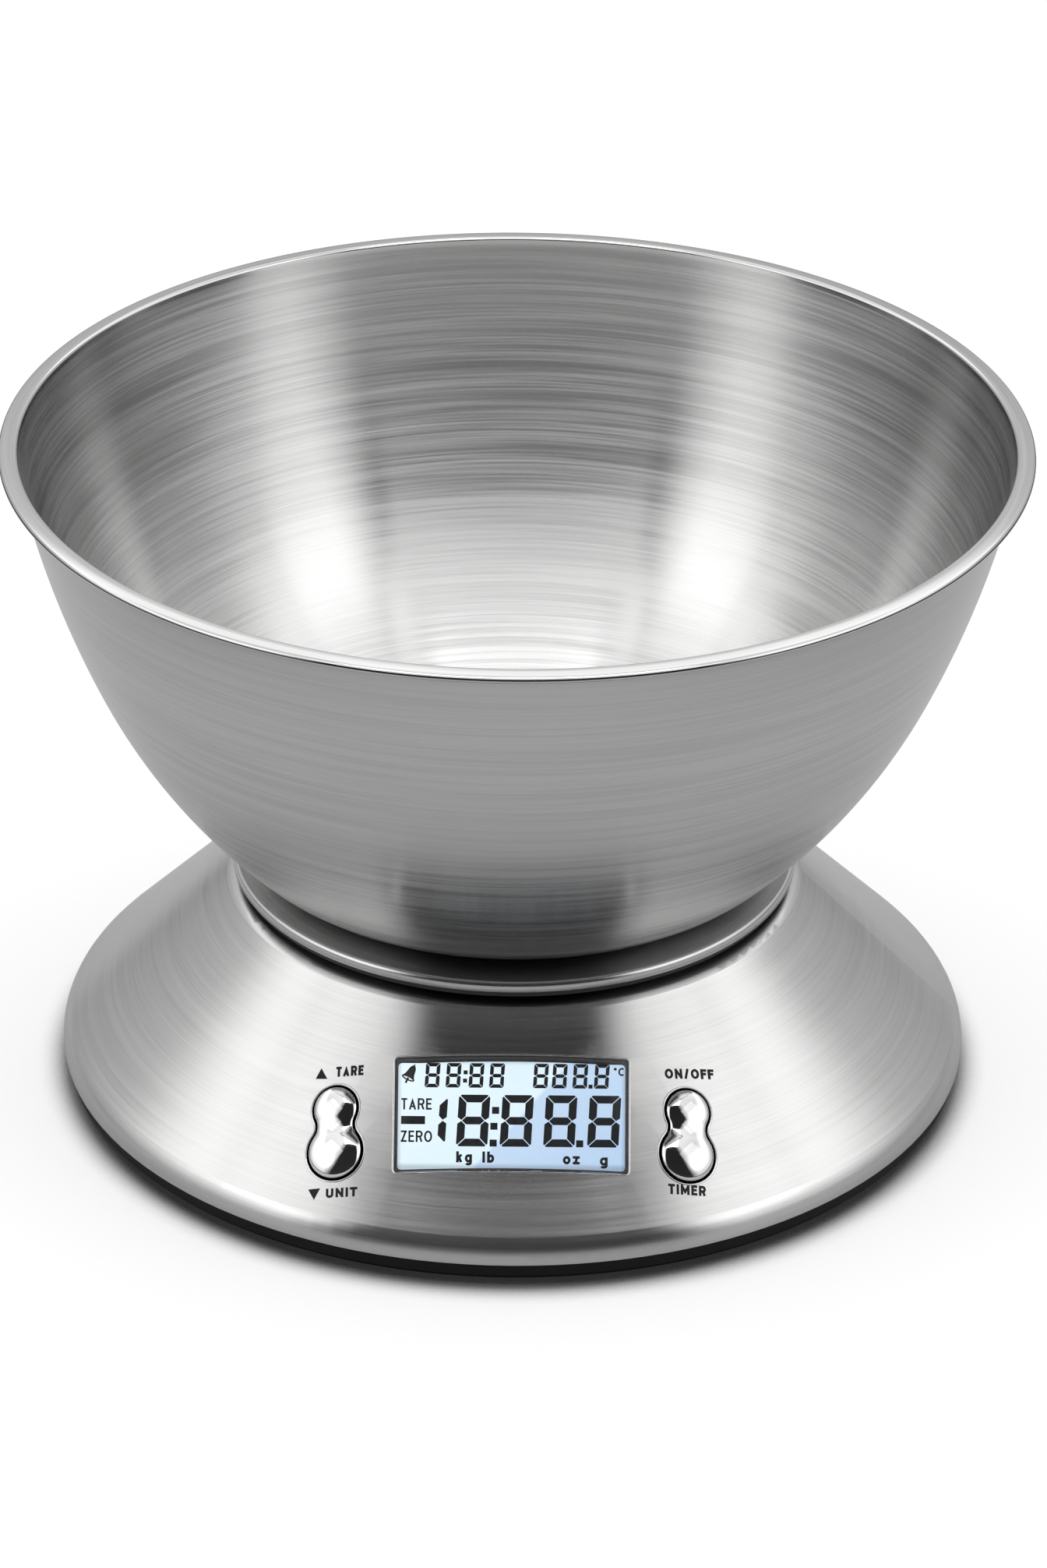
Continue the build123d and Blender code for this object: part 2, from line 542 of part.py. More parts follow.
# Lower housing: the pan, with its pedestal, stop, posts and battery bay.
with BuildPart() as lower_housing:
    with BuildSketch(Plane.XY.offset(PAN_Z)):
        Circle(PAN_RADIUS)
    extrude(amount=SPLIT_Z - PAN_Z)
    chamfer(lower_housing.edges().group_by(Axis.Z)[0], PAN_EDGE)
    with BuildSketch(Plane.XY.offset(FLOOR_Z)):
        Circle(PAN_RADIUS - PAN_WALL)
    extrude(amount=SPLIT_Z - FLOOR_Z, mode=Mode.SUBTRACT)
    with BuildSketch(Plane.XY.offset(PAN_Z)):
        with Locations((-foot_middle, 0)):
            Rectangle(PEDESTAL_LENGTH, foot_width)
    extrude(amount=CELL_Z - PAN_Z)
    with BuildSketch(Plane.XY.offset(PAN_Z)):
        with Locations((foot_middle, 0)):
            Circle(STOP_RADIUS)
    extrude(amount=CELL_Z - STOP_GAP - PAN_Z)
    with BuildSketch(Plane.XY.offset(PAN_Z)):
        with GridLocations(2 * post_x, 2 * post_y, 2, 2):
            Circle(POST_RADIUS)
    extrude(amount=POST_Z - PAN_Z)
    with BuildSketch(Plane.XY.offset(PAN_Z)):
        with Locations((0, BAY_Y)):
            Rectangle(bay_length + 2 * BAY_WALL, bay_width + 2 * BAY_WALL)
    extrude(amount=bay_top_z + BAY_CEILING - PAN_Z)
    # Bay, door opening and the slots that the door's tabs turn in.
    with BuildSketch(Plane.XY.offset(PAN_Z)):
        with Locations((0, BAY_Y)):
            Rectangle(bay_length, bay_width)
    extrude(amount=bay_top_z - PAN_Z, mode=Mode.SUBTRACT)
    with BuildSketch(Plane.XY.offset(PAN_Z)):
        with Locations((0, BAY_Y)):
            RectangleRounded(door_length + 2 * DOOR_GAP, door_width + 2 * DOOR_GAP, DOOR_CORNER + DOOR_GAP)
    extrude(amount=BAY_Z - PAN_Z, mode=Mode.SUBTRACT)
    with BuildSketch(Plane.XY.offset(tab_z - DOOR_TAB_THICKNESS / 3)):
        with Locations((0, hinge_y)):
            with GridLocations(DOOR_TAB_SPACING, 0, 2, 1):
                Rectangle(DOOR_TAB_WIDTH + 2 * DOOR_GAP, 2 * (DOOR_TAB_REACH + DOOR_GAP))
    extrude(amount=DOOR_TAB_REACH + DOOR_TAB_THICKNESS, mode=Mode.SUBTRACT)
    # Slots in the bay's ceiling for the contacts' solder tabs.
    with BuildSketch(Plane.XY.offset(bay_top_z)):
        with Locations((contact_x + CONTACT_THICKNESS / 2, BAY_Y)):
            with GridLocations(0, 2 * battery_step, 1, 2):
                Rectangle(CONTACT_THICKNESS + 2 * CONTACT_FIT, CONTACT_TAB_WIDTH + 2 * CONTACT_FIT)
    extrude(amount=BAY_CEILING, mode=Mode.SUBTRACT)
    # Foot pockets and screw holes, from underneath.
    with BuildSketch(Plane.XY.offset(PAN_Z)):
        with PolarLocations(FOOT_CIRCLE, 4, start_angle=45):
            Circle(FOOT_RADIUS + SCREW_FIT)
    extrude(amount=FOOT_POCKET, mode=Mode.SUBTRACT)
    with BuildSketch(Plane.XY.offset(PAN_Z)):
        with GridLocations(2 * post_x, 2 * post_y, 2, 2):
            Circle(SCREW_HEAD_RADIUS + SCREW_CLEARANCE)
    extrude(amount=SCREW_HEAD_DEPTH, mode=Mode.SUBTRACT)
    with BuildSketch(Plane.XY.offset(PAN_Z)):
        with GridLocations(2 * post_x, 2 * post_y, 2, 2):
            Circle(SCREW_RADIUS + SCREW_CLEARANCE)
    extrude(amount=POST_Z - PAN_Z, mode=Mode.SUBTRACT)
    with BuildSketch(Plane.XY.offset(PAN_Z)):
        with Locations(*[(x, 0) for x in fixed_screws]):
            Circle(CELL_SCREW_HEAD_RADIUS + SCREW_CLEARANCE)
    extrude(amount=CELL_Z - CELL_SCREW_GRIP - PAN_Z, mode=Mode.SUBTRACT)
    with BuildSketch(Plane.XY.offset(PAN_Z)):
        with Locations(*[(x, 0) for x in fixed_screws]):
            Circle(CELL_SCREW_RADIUS + SCREW_CLEARANCE)
    extrude(amount=CELL_Z - PAN_Z, mode=Mode.SUBTRACT)
save(lower_housing.part, "lower_housing")

with BuildPart() as housing_screws:
    head_z = PAN_Z + SCREW_HEAD_DEPTH
    with BuildSketch(Plane.XY.offset(head_z - SCREW_HEAD_HEIGHT)):
        with GridLocations(2 * post_x, 2 * post_y, 2, 2):
            Circle(SCREW_HEAD_RADIUS)
    extrude(amount=SCREW_HEAD_HEIGHT)
    with BuildSketch(Plane.XY.offset(head_z)):
        with GridLocations(2 * post_x, 2 * post_y, 2, 2):
            Circle(SCREW_RADIUS)
    extrude(amount=SCREW_LENGTH)
save(housing_screws.part, "housing_screws")

with BuildPart() as feet:
    with BuildSketch():
        with PolarLocations(FOOT_CIRCLE, 4, start_angle=45):
            Circle(FOOT_RADIUS)
    extrude(amount=FOOT_PROUD + FOOT_POCKET)
    fillet(feet.edges().group_by(Axis.Z)[0], FOOT_EDGE)
save(feet.part, "feet")

# Battery door: a plate with two tabs that hook into the pan and a latch nib opposite.
with BuildPart() as battery_door:
    with BuildSketch(Plane.XY.offset(PAN_Z)):
        with Locations((0, BAY_Y)):
            RectangleRounded(door_length, door_width, DOOR_CORNER)
    extrude(amount=DOOR_THICKNESS)
    with BuildSketch(Plane.XY.offset(tab_z)):
        with Locations((0, hinge_y)):
            with GridLocations(DOOR_TAB_SPACING, 0, 2, 1):
                Rectangle(DOOR_TAB_WIDTH, 2 * DOOR_TAB_REACH)
        with Locations((0, hinge_y + door_width)):
            Rectangle(DOOR_NIB_WIDTH, 2 * DOOR_NIB_REACH)
    extrude(amount=DOOR_TAB_THICKNESS)
    with BuildSketch(Plane.XY.offset(PAN_Z)):
        with Locations((0, hinge_y + door_width - DOOR_GRIP_WIDTH)):
            SlotOverall(DOOR_GRIP_LENGTH, DOOR_GRIP_WIDTH)
    extrude(amount=DOOR_GRIP_DEPTH, mode=Mode.SUBTRACT)
save(battery_door.part, "battery_door")


def battery(y, toward):
    """One cell whose plus end points along X as toward says."""
    plus_end = contact_x - CONTACT_FIT
    body = BATTERY_LENGTH - BATTERY_NUB_LENGTH
    with BuildPart() as cell:
        with BuildSketch(Plane.YZ.offset(toward * (plus_end - BATTERY_LENGTH))):
            with Locations((y, battery_z)):
                Circle(BATTERY_RADIUS)
        extrude(amount=toward * body)
        fillet(cell.edges(), BATTERY_GAP)
        with BuildSketch(Plane.YZ.offset(toward * (plus_end - BATTERY_NUB_LENGTH))):
            with Locations((y, battery_z)):
                Circle(BATTERY_NUB_RADIUS)
        extrude(amount=toward * BATTERY_NUB_LENGTH)
    return cell.part


front_y = BAY_Y - battery_step
rear_y = BAY_Y + battery_step
save(battery(front_y, 1), "battery_front")
save(battery(rear_y, -1), "battery_rear")


def leaf_section(x, y, toward):
    """Bowed spring leaf, seen from above, standing on a contact plate at x."""
    tip = x + toward * LEAF_REACH
    inner_span = LEAF_HALF_SPAN - LEAF_THICKNESS
    with BuildSketch() as section:
        with BuildLine():
            ThreePointArc((x, y - LEAF_HALF_SPAN), (tip, y), (x, y + LEAF_HALF_SPAN))
            Line((x, y + LEAF_HALF_SPAN), (x, y + inner_span))
            ThreePointArc((x, y + inner_span), (tip - toward * LEAF_THICKNESS, y), (x, y - inner_span))
            Line((x, y - inner_span), (x, y - LEAF_HALF_SPAN))
        make_face()
    return section.sketch


contact_z = BAY_Z + CONTACT_MARGIN
contact_height = bay_height - 2 * CONTACT_MARGIN
leaf_z = battery_z - LEAF_WIDTH / 2


def end_contact(y, with_leaf):
    """Contact plate at the +X end, with a solder tab through the ceiling."""
    plate_width = 2 * (BATTERY_RADIUS - CONTACT_MARGIN)
    tab_top = bay_top_z + BAY_CEILING + CONTACT_TAB_RISE
    with BuildPart() as contact:
        with BuildSketch(Plane.YZ.offset(contact_x)):
            with Locations((y, contact_z + contact_height / 2)):
                Rectangle(plate_width, contact_height)
            with Locations((y, (contact_z + tab_top) / 2)):
                Rectangle(CONTACT_TAB_WIDTH, tab_top - contact_z)
        extrude(amount=CONTACT_THICKNESS)
        if with_leaf:
            with BuildSketch(Plane.XY.offset(leaf_z)):
                add(leaf_section(contact_x, y, -1))
            extrude(amount=LEAF_WIDTH)
    return contact.part


save(end_contact(front_y, False), "positive_contact")
save(end_contact(rear_y, True), "negative_contact")

with BuildPart() as bridge_contact:
    with BuildSketch(Plane.YZ.offset(-contact_x)):
        with Locations((BAY_Y, contact_z + contact_height / 2)):
            Rectangle(bay_width - 2 * CONTACT_MARGIN, contact_height)
    extrude(amount=-CONTACT_THICKNESS)
    with BuildSketch(Plane.XY.offset(leaf_z)):
        add(leaf_section(-contact_x, front_y, 1))
    extrude(amount=LEAF_WIDTH)
save(bridge_contact.part, "bridge_contact")

# Display stack behind the window, from the lens to the board.
with BuildPart() as display_lens:
    revolve(skin_section(LENS_SINK, HOUSING_OUT - LENS_SINK, SPLIT_Z, COVER_HOLE_RADIUS), axis=Axis.Z)
    lens_width = WINDOW_WIDTH - 2 * LENS_GAP
    lens_height = WINDOW_HEIGHT - 2 * LENS_GAP
    with BuildSketch(PANEL):
        RectangleRounded(lens_width, lens_height, WINDOW_CORNER - LENS_GAP)
    extrude(amount=CUT_REACH, both=True, mode=Mode.INTERSECT)
save(display_lens.part, "display_lens")

with BuildPart() as lcd_glass:
    with BuildSketch(PANEL.offset(-GLASS_DEPTH)):
        Rectangle(GLASS_WIDTH, GLASS_HEIGHT)
    extrude(amount=-GLASS_THICKNESS)
save(lcd_glass.part, "lcd_glass")

under_glass = GLASS_DEPTH + GLASS_THICKNESS
with BuildPart() as backlight:
    with BuildSketch(PANEL.offset(-under_glass)):
        with Locations((0, (GLASS_HEIGHT - BACKLIGHT_HEIGHT) / 2 - BACKLIGHT_MARGIN)):
            Rectangle(GLASS_WIDTH - 2 * BACKLIGHT_MARGIN, BACKLIGHT_HEIGHT)
    extrude(amount=under_glass - BOARD_DEPTH)
save(backlight.part, "backlight")

with BuildPart() as contact_strip:
    with BuildSketch(PANEL.offset(-under_glass)):
        with Locations((0, (STRIP_HEIGHT - GLASS_HEIGHT) / 2 + BACKLIGHT_MARGIN)):
            Rectangle(GLASS_WIDTH - 2 * STRIP_MARGIN, STRIP_HEIGHT)
    extrude(amount=under_glass - BOARD_DEPTH)
save(contact_strip.part, "contact_strip")

with BuildPart() as lcd_frame:
    frame_width = GLASS_WIDTH + 2 * GLASS_GAP
    frame_height = GLASS_HEIGHT + 2 * GLASS_GAP
    with BuildSketch(PANEL.offset(-FRAME_DEPTH)):
        RectangleRounded(frame_width + 2 * FRAME_WALL, frame_height + 2 * FRAME_WALL, FRAME_WALL)
        Rectangle(frame_width, frame_height, mode=Mode.SUBTRACT)
    extrude(amount=FRAME_DEPTH - BOARD_DEPTH)
save(lcd_frame.part, "lcd_frame")

board_back = BOARD_DEPTH + BOARD_THICKNESS
with BuildPart() as main_board:
    with BuildSketch(PANEL.offset(-BOARD_DEPTH)):
        RectangleRounded(BOARD_WIDTH, BOARD_HEIGHT, BOARD_CORNER)
        with GridLocations(2 * BOARD_SCREW_X, 2 * BOARD_SCREW_Y, 2, 2):
            Circle(SMALL_SCREW_RADIUS + SCREW_CLEARANCE, mode=Mode.SUBTRACT)
    extrude(amount=-BOARD_THICKNESS)
save(main_board.part, "main_board")

with BuildPart() as board_screws:
    with BuildSketch(PANEL.offset(-board_back)):
        with GridLocations(2 * BOARD_SCREW_X, 2 * BOARD_SCREW_Y, 2, 2):
            Circle(SMALL_SCREW_HEAD_RADIUS)
    extrude(amount=-SMALL_SCREW_HEAD_HEIGHT)
    with BuildSketch(PANEL.offset(-board_back)):
        with GridLocations(2 * BOARD_SCREW_X, 2 * BOARD_SCREW_Y, 2, 2):
            Circle(SMALL_SCREW_RADIUS)
    extrude(amount=SMALL_SCREW_LENGTH)
save(board_screws.part, "board_screws")

with BuildPart() as chip_blob:
    with BuildSketch(PANEL.offset(-board_back)):
        Circle(CHIP_RADIUS)
    extrude(amount=-CHIP_HEIGHT, taper=CHIP_TAPER)
save(chip_blob.part, "chip_blob")

with BuildPart() as buzzer:
    with BuildSketch(PANEL.offset(-board_back)):
        with Locations(BUZZER_PLACE):
            Circle(BUZZER_RADIUS)
    extrude(amount=-BUZZER_HEIGHT)
    with BuildSketch(PANEL.offset(-board_back - BUZZER_HEIGHT)):
        with Locations(BUZZER_PLACE):
            Circle(BUZZER_HOLE)
    extrude(amount=BUZZER_HEIGHT / 2, mode=Mode.SUBTRACT)
save(buzzer.part, "buzzer")

with BuildPart() as thermistor:
    with BuildSketch(PANEL.offset(-board_back)):
        with Locations(THERMISTOR_PLACE):
            Circle(THERMISTOR_RADIUS)
    extrude(amount=-THERMISTOR_HEIGHT)
    fillet(thermistor.edges().sort_by(Axis(PANEL.origin, PANEL.z_dir))[0], THERMISTOR_RADIUS / 2)
save(thermistor.part, "thermistor")

# Rocker key: a two-lobed cap on a flange, bored across its waist, with a post per lobe.
lobe_places = [(0, LOBE_UP), (0, -LOBE_DOWN)]
with BuildPart() as right_key:
    with BuildSketch(KEY.offset(-KEY_DEPTH)):
        add(key_outline(0))
    extrude(amount=KEY_DEPTH + KEY_PROUD)
    key_top = right_key.faces().sort_by(Axis(KEY.origin, KEY.z_dir))[-1]
    fillet(key_top.edges(), KEY_EDGE)
    with BuildSketch(KEY.offset(-KEY_DEPTH)):
        add(key_outline(KEY_FLANGE))
    extrude(amount=KEY_FLANGE_HEIGHT)
    with BuildSketch(KEY.offset(-KEY_DEPTH)):
        with Locations(*lobe_places):
            Circle(KEY_POST_RADIUS)
    extrude(amount=-KEY_POST_LENGTH)
    with BuildSketch(cross_plane(KEY, PIVOT_DEPTH)):
        Circle(PIVOT_RADIUS + PIVOT_RUNNING_FIT)
    extrude(amount=ear_x, both=True, mode=Mode.SUBTRACT)
save(right_key.part, "right_key")

with BuildPart() as left_key:
    mirror(right_key.part, about=Plane.YZ)
save(left_key.part, "left_key")

with BuildPart() as key_pivot_pins:
    with BuildSketch(cross_plane(KEY, PIVOT_DEPTH)):
        Circle(PIVOT_RADIUS)
    pin = extrude(amount=ear_x + EAR_THICKNESS / 2, both=True)
    mirror(pin, about=Plane.YZ)
save(key_pivot_pins.part, "key_pivot_pins")

with BuildPart() as key_switches:
    with BuildSketch(KEY.offset(-key_board_depth)):
        with Locations(*lobe_places):
            RectangleRounded(SWITCH_SIZE, SWITCH_SIZE, KEY_REST_GAP)
    bodies = extrude(amount=SWITCH_HEIGHT)
    with BuildSketch(KEY.offset(-key_board_depth)):
        with Locations(*lobe_places):
            Circle(PLUNGER_RADIUS)
    plungers = extrude(amount=SWITCH_HEIGHT + PLUNGER_HEIGHT)
    mirror([bodies, plungers], about=Plane.YZ)
save(key_switches.part, "key_switches")

with BuildPart() as key_boards:
    board_low = boss_places[1][1] - KEY_BOARD_MARGIN
    board_high = boss_places[0][1] + KEY_BOARD_MARGIN
    board_left = -SWITCH_SIZE / 2 - KEY_BOARD_MARGIN
    board_right = boss_x + KEY_BOARD_MARGIN
    with BuildSketch(KEY.offset(-key_board_depth)):
        with Locations(((board_left + board_right) / 2, (board_low + board_high) / 2)):
            Rectangle(board_right - board_left, board_high - board_low)
        with Locations(*boss_places):
            Circle(SMALL_SCREW_RADIUS + SCREW_CLEARANCE, mode=Mode.SUBTRACT)
    key_board = extrude(amount=-KEY_BOARD_THICKNESS)
    mirror(key_board, about=Plane.YZ)
save(key_boards.part, "key_boards")

with BuildPart() as key_board_screws:
    with BuildSketch(KEY.offset(-key_board_depth - KEY_BOARD_THICKNESS)):
        with Locations(*boss_places):
            Circle(SMALL_SCREW_HEAD_RADIUS)
    heads = extrude(amount=-SMALL_SCREW_HEAD_HEIGHT)
    with BuildSketch(KEY.offset(-key_board_depth - KEY_BOARD_THICKNESS)):
        with Locations(*boss_places):
            Circle(SMALL_SCREW_RADIUS)
    shanks = extrude(amount=SMALL_SCREW_LENGTH)
    mirror([heads, shanks], about=Plane.YZ)
save(key_board_screws.part, "key_board_screws")


def wire(points, radius, bend):
    """Round wire along straight runs with even bends."""
    with BuildPart() as tube:
        with BuildLine() as route:
            FilletPolyline(*points, radius=bend)
        with BuildSketch(Plane(route.line @ 0, z_dir=route.line % 0)):
            Circle(radius)
        sweep()
    return tube.part


def behind_board(x, y):
    """Point on the back of the main board, and one straight behind it."""
    at_board = PANEL.from_local_coords((x, y, -board_back - LEAD_RADIUS / 2))
    behind = PANEL.from_local_coords((x, y, -board_back - 2 * LEAD_BEND))
    return [behind, at_board]


# Two leads from the battery contacts, over the bay and under the load cell.
lead_z = bay_top_z + BAY_CEILING + CONTACT_TAB_RISE / 2
lead_start = contact_x - LEAD_RADIUS - CONTACT_FIT
bay_front = BAY_Y - bay_width / 2 - BAY_WALL
low_z = (FLOOR_Z + CELL_Z) / 2
for name, y, x, board_x in (
    ("battery_lead_plus", front_y, LEAD_PLUS_X, LEAD_PLUS_BOARD_X),
    ("battery_lead_minus", rear_y, LEAD_MINUS_X, LEAD_MINUS_BOARD_X),
):
    start = [(lead_start, y, lead_z), (x, y, lead_z), (x, bay_front - LEAD_BEND, lead_z)]
    under = [(x, bay_front - 2 * LEAD_BEND, low_z), (x, -CELL_WIDTH, low_z)]
    end = behind_board(board_x, LEAD_BOARD_Y)
    save(wire(start + under + end, LEAD_RADIUS, LEAD_BEND * LEAD_BEND_SHARE), name)

cell_side = -CELL_WIDTH / 2 - CONTACT_FIT
cell_middle_z = CELL_Z + CELL_HEIGHT / 2
with BuildPart() as load_cell_cable:
    start = [(-CELL_SLOT_LENGTH, y, cell_middle_z) for y in (cell_side, 3 * cell_side)]
    add(wire(start + behind_board(CABLE_BOARD_X, LEAD_BOARD_Y), CABLE_RADIUS, CABLE_BEND))
save(load_cell_cable.part, "load_cell_cable")
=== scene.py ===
# %% [markdown]
# This lesson dresses a kitchen scale: a brushed steel bowl that lifts off a low
# conical base with a lit display and two chrome rocker keys. The solid model
# already has every piece at its real size, so it is loaded as a fixed frame.
# All that is added here sits on those pieces and moves with them.

# %% Load the solid model
import json
from math import acos, atan2, cos, degrees, hypot, pi, radians, sin, sqrt

import bmesh
import bpy
from mathutils import Matrix, Vector


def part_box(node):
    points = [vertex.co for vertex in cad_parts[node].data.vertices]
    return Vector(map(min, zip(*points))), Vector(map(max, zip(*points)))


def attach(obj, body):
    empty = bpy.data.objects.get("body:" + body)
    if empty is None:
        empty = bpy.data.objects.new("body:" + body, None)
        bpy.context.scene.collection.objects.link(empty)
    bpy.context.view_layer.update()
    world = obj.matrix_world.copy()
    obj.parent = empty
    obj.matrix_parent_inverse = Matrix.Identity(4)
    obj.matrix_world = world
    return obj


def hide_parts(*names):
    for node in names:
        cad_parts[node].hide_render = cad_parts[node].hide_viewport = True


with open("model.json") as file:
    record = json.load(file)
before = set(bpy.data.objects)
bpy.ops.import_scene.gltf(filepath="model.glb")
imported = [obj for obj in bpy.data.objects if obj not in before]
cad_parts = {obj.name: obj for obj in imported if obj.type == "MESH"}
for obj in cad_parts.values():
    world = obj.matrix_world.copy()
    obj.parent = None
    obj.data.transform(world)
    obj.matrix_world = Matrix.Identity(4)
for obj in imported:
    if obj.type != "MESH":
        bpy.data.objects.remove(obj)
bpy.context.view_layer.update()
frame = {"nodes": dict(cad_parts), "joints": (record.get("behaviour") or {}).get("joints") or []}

MM = 0.001
nodes = frame["nodes"]

# %% [markdown]
# The camera comes first, because every later look is judged through it. It
# stands in front and a little above, far off with a long lens, so the bowl's
# near and far rims look almost alike. The long side of the picture is upright,
# and Blender measures the sensor along the long side.

# %% Set the camera
PICTURE_SIZE = (1344, 2012)
SENSOR_WIDTH = 36.0
CAMERA_PIXELS = 8518.44
CAMERA_RISE = radians(28.339)
CAMERA_ROLL = radians(0.488)
CAMERA_DISTANCE = 1342.0 * MM
CAMERA_AIM = Vector((1.79, 0.0, 61.84)) * MM

camera_data = bpy.data.cameras.new("studio_camera")
camera_data.sensor_width = SENSOR_WIDTH
camera_data.lens = CAMERA_PIXELS * SENSOR_WIDTH / max(PICTURE_SIZE)
camera = bpy.data.objects.new("studio_camera", camera_data)
bpy.context.scene.collection.objects.link(camera)
camera_tilt = Matrix.Rotation(pi / 2 - CAMERA_RISE, 4, "X")
camera_turn = camera_tilt @ Matrix.Rotation(CAMERA_ROLL, 4, "Z")
camera_back = Vector((0, -cos(CAMERA_RISE), sin(CAMERA_RISE)))
camera_place = Matrix.Translation(CAMERA_AIM + CAMERA_DISTANCE * camera_back)
camera.matrix_world = camera_place @ camera_turn
bpy.context.scene.camera = camera
print("lens", round(camera_data.lens, 1), "mm at", [round(v, 3) for v in camera.location])

# %% [markdown]
# Materials and the world are both built from nodes, so a few small helpers keep
# the rest short. One adds a node and fills its sockets, either with a number or
# with another node's output. Others make a colour band, spread a pattern over a
# range of values, or do one sum, in the node tree that their input comes from.

# %% Helpers for node trees
def add(tree, kind, sockets=None, **settings):
    """New shader node; sockets maps a name or number to a value or an output."""
    made = tree.nodes.new("ShaderNode" + kind)
    for key, value in settings.items():
        setattr(made, key, value)
    for key, value in (sockets or {}).items():
        if isinstance(value, bpy.types.NodeSocket):
            tree.links.new(value, made.inputs[key])
        else:
            made.inputs[key].default_value = value
    return made


def band(feed, *stops):
    """Colour band over a value; each stop is a place and a grey or a colour."""
    made = add(feed.id_data, "ValToRGB", {"Fac": feed})
    stop_list = made.color_ramp.elements
    for place, _ in stops[1:-1]:
        stop_list.new(place)
    for stop, (place, colour) in zip(stop_list, stops):
        stop.position = place
        rgb = (colour,) * 3 if isinstance(colour, (int, float)) else colour
        stop.color = (*rgb, 1)
    stop_list[-1].position = stops[-1][0]
    return made.outputs["Color"]


def two_tone(pattern, low, high, start=0.3, end=0.7):
    """Two tones over the middle values of a noise."""
    return band(pattern, (start, low), (end, high))


def spread(feed, low, high, start=0.3, end=0.7):
    """A pattern's middle values, spread from low to high."""
    sockets = {"Value": feed, "From Min": start, "From Max": end, "To Min": low, "To Max": high}
    return add(feed.id_data, "MapRange", sockets).outputs["Result"]


def calc(operation, first, second=0.0):
    """One sum with numbers, of which one or both are outputs."""
    tree = (first if isinstance(first, bpy.types.NodeSocket) else second).id_data
    return add(tree, "Math", {0: first, 1: second}, operation=operation).outputs[0]


def vector_calc(operation, first, second=(0, 0, 0)):
    """One sum with vectors; its outputs are a vector and a value."""
    sockets = {0: first, 1: second}
    return add(first.id_data, "VectorMath", sockets, operation=operation).outputs


def scaled(colour, share):
    """Colour made darker by a share."""
    sockets = {0: colour, "Scale": share}
    return add(colour.id_data, "VectorMath", sockets, operation="SCALE").outputs[0]


def object_place(tree):
    """Place on the piece itself, so that a pattern moves with it."""
    return add(tree, "TexCoord").outputs["Object"]


print("helpers ready")

# %% [markdown]
# Polished and brushed metal shows what stands around it, so the studio matters
# as much as the metal. The world is plain white, which is all the background that
# the camera sees.

# %% White background
world = bpy.data.worlds.new("studio")
bpy.context.scene.world = world
world.use_nodes = True
backdrop = world.node_tree
backdrop.nodes.clear()
world.cycles.sampling_method = "NONE"
white = add(backdrop, "Background", {"Color": (1, 1, 1, 1), "Strength": 1.0})
add(backdrop, "OutputWorld", {"Surface": white.outputs[0]})
print("background nodes:", len(backdrop.nodes))

# %% [markdown]
# Round the scale stands a light tent, as for product pictures. Lamps alone would
# show in the steel as small hot patches, and a tent shows as broad soft bands. The
# camera looks through it, so it never shows as a wall.

# %% Light tent
TENT_RADIUS = 4.0
TENT_BELOW_FLOOR = -0.3
DOME_TURNS = 48
DOME_ROWS = 32


def on_stage(name, shape):
    """Mesh of the studio, with its own node material."""
    mesh = bpy.data.meshes.new(name)
    shape.to_mesh(mesh)
    shape.free()
    made = bpy.data.objects.new(name, mesh)
    bpy.context.scene.collection.objects.link(made)
    material = bpy.data.materials.new(name + "_cloth")
    material.use_nodes = True
    material.node_tree.nodes.clear()
    mesh.materials.append(material)
    return made, material.node_tree


dome = bmesh.new()
bmesh.ops.create_uvsphere(dome, u_segments=DOME_TURNS, v_segments=DOME_ROWS, radius=TENT_RADIUS)
below = [point for point in dome.verts if point.co.z < TENT_BELOW_FLOOR]
bmesh.ops.delete(dome, geom=below, context="VERTS")
tent, cloth = on_stage("light_tent", dome)
tent.visible_camera = tent.visible_transmission = False
tent.active_material.cycles.emission_sampling = "NONE"
print("tent faces:", len(tent.data.polygons))

# %% [markdown]
# The tent has bright cloth to the left and the right, a softer back and roof, and a
# dark gap in front, where the camera looks in. Its glow is painted by bearing, from
# the camera round to the back, and by height, from the floor, 0, to straight
# overhead, 1. The bright strip halfway up the back is what the bowl's near lip shows.

# %% Glow of the tent
GAP_EDGE = (radians(40), radians(56))
CLOTH_EDGE = (radians(86), radians(116))
GAP_GLOW = ((0.0, 0.03), (0.93, 0.02), (1.0, 0.33))
LOW_SIDE = ((0.0, 0.9), (0.20, 0.95), (0.42, 1.5), (0.55, 2.09))
HIGH_SIDE = ((0.64, 1.54), (0.75, 0.88), (0.90, 1.05), (1.0, 1.05))
LOW_BACK = ((0.0, 0.495), (0.20, 0.55), (0.42, 0.715), (0.52, 0.90), (0.57, 1.6))
HIGH_BACK = ((0.70, 1.6), (0.77, 1.15), (1.0, 1.05))

spot = add(cloth, "NewGeometry").outputs["Position"]
heading = add(cloth, "SeparateXYZ", {0: vector_calc("NORMALIZE", spot)[0]}).outputs
to_camera = calc("MULTIPLY", heading["Y"], -1.0)
bearing = calc("ABSOLUTE", calc("ARCTAN2", heading["X"], to_camera))


def mixed(share, first, second):
    """One glow that turns into another; sockets 6 and 7 of the node are colours."""
    return add(cloth, "Mix", {0: share, 6: first, 7: second}, data_type="RGBA").outputs[2]


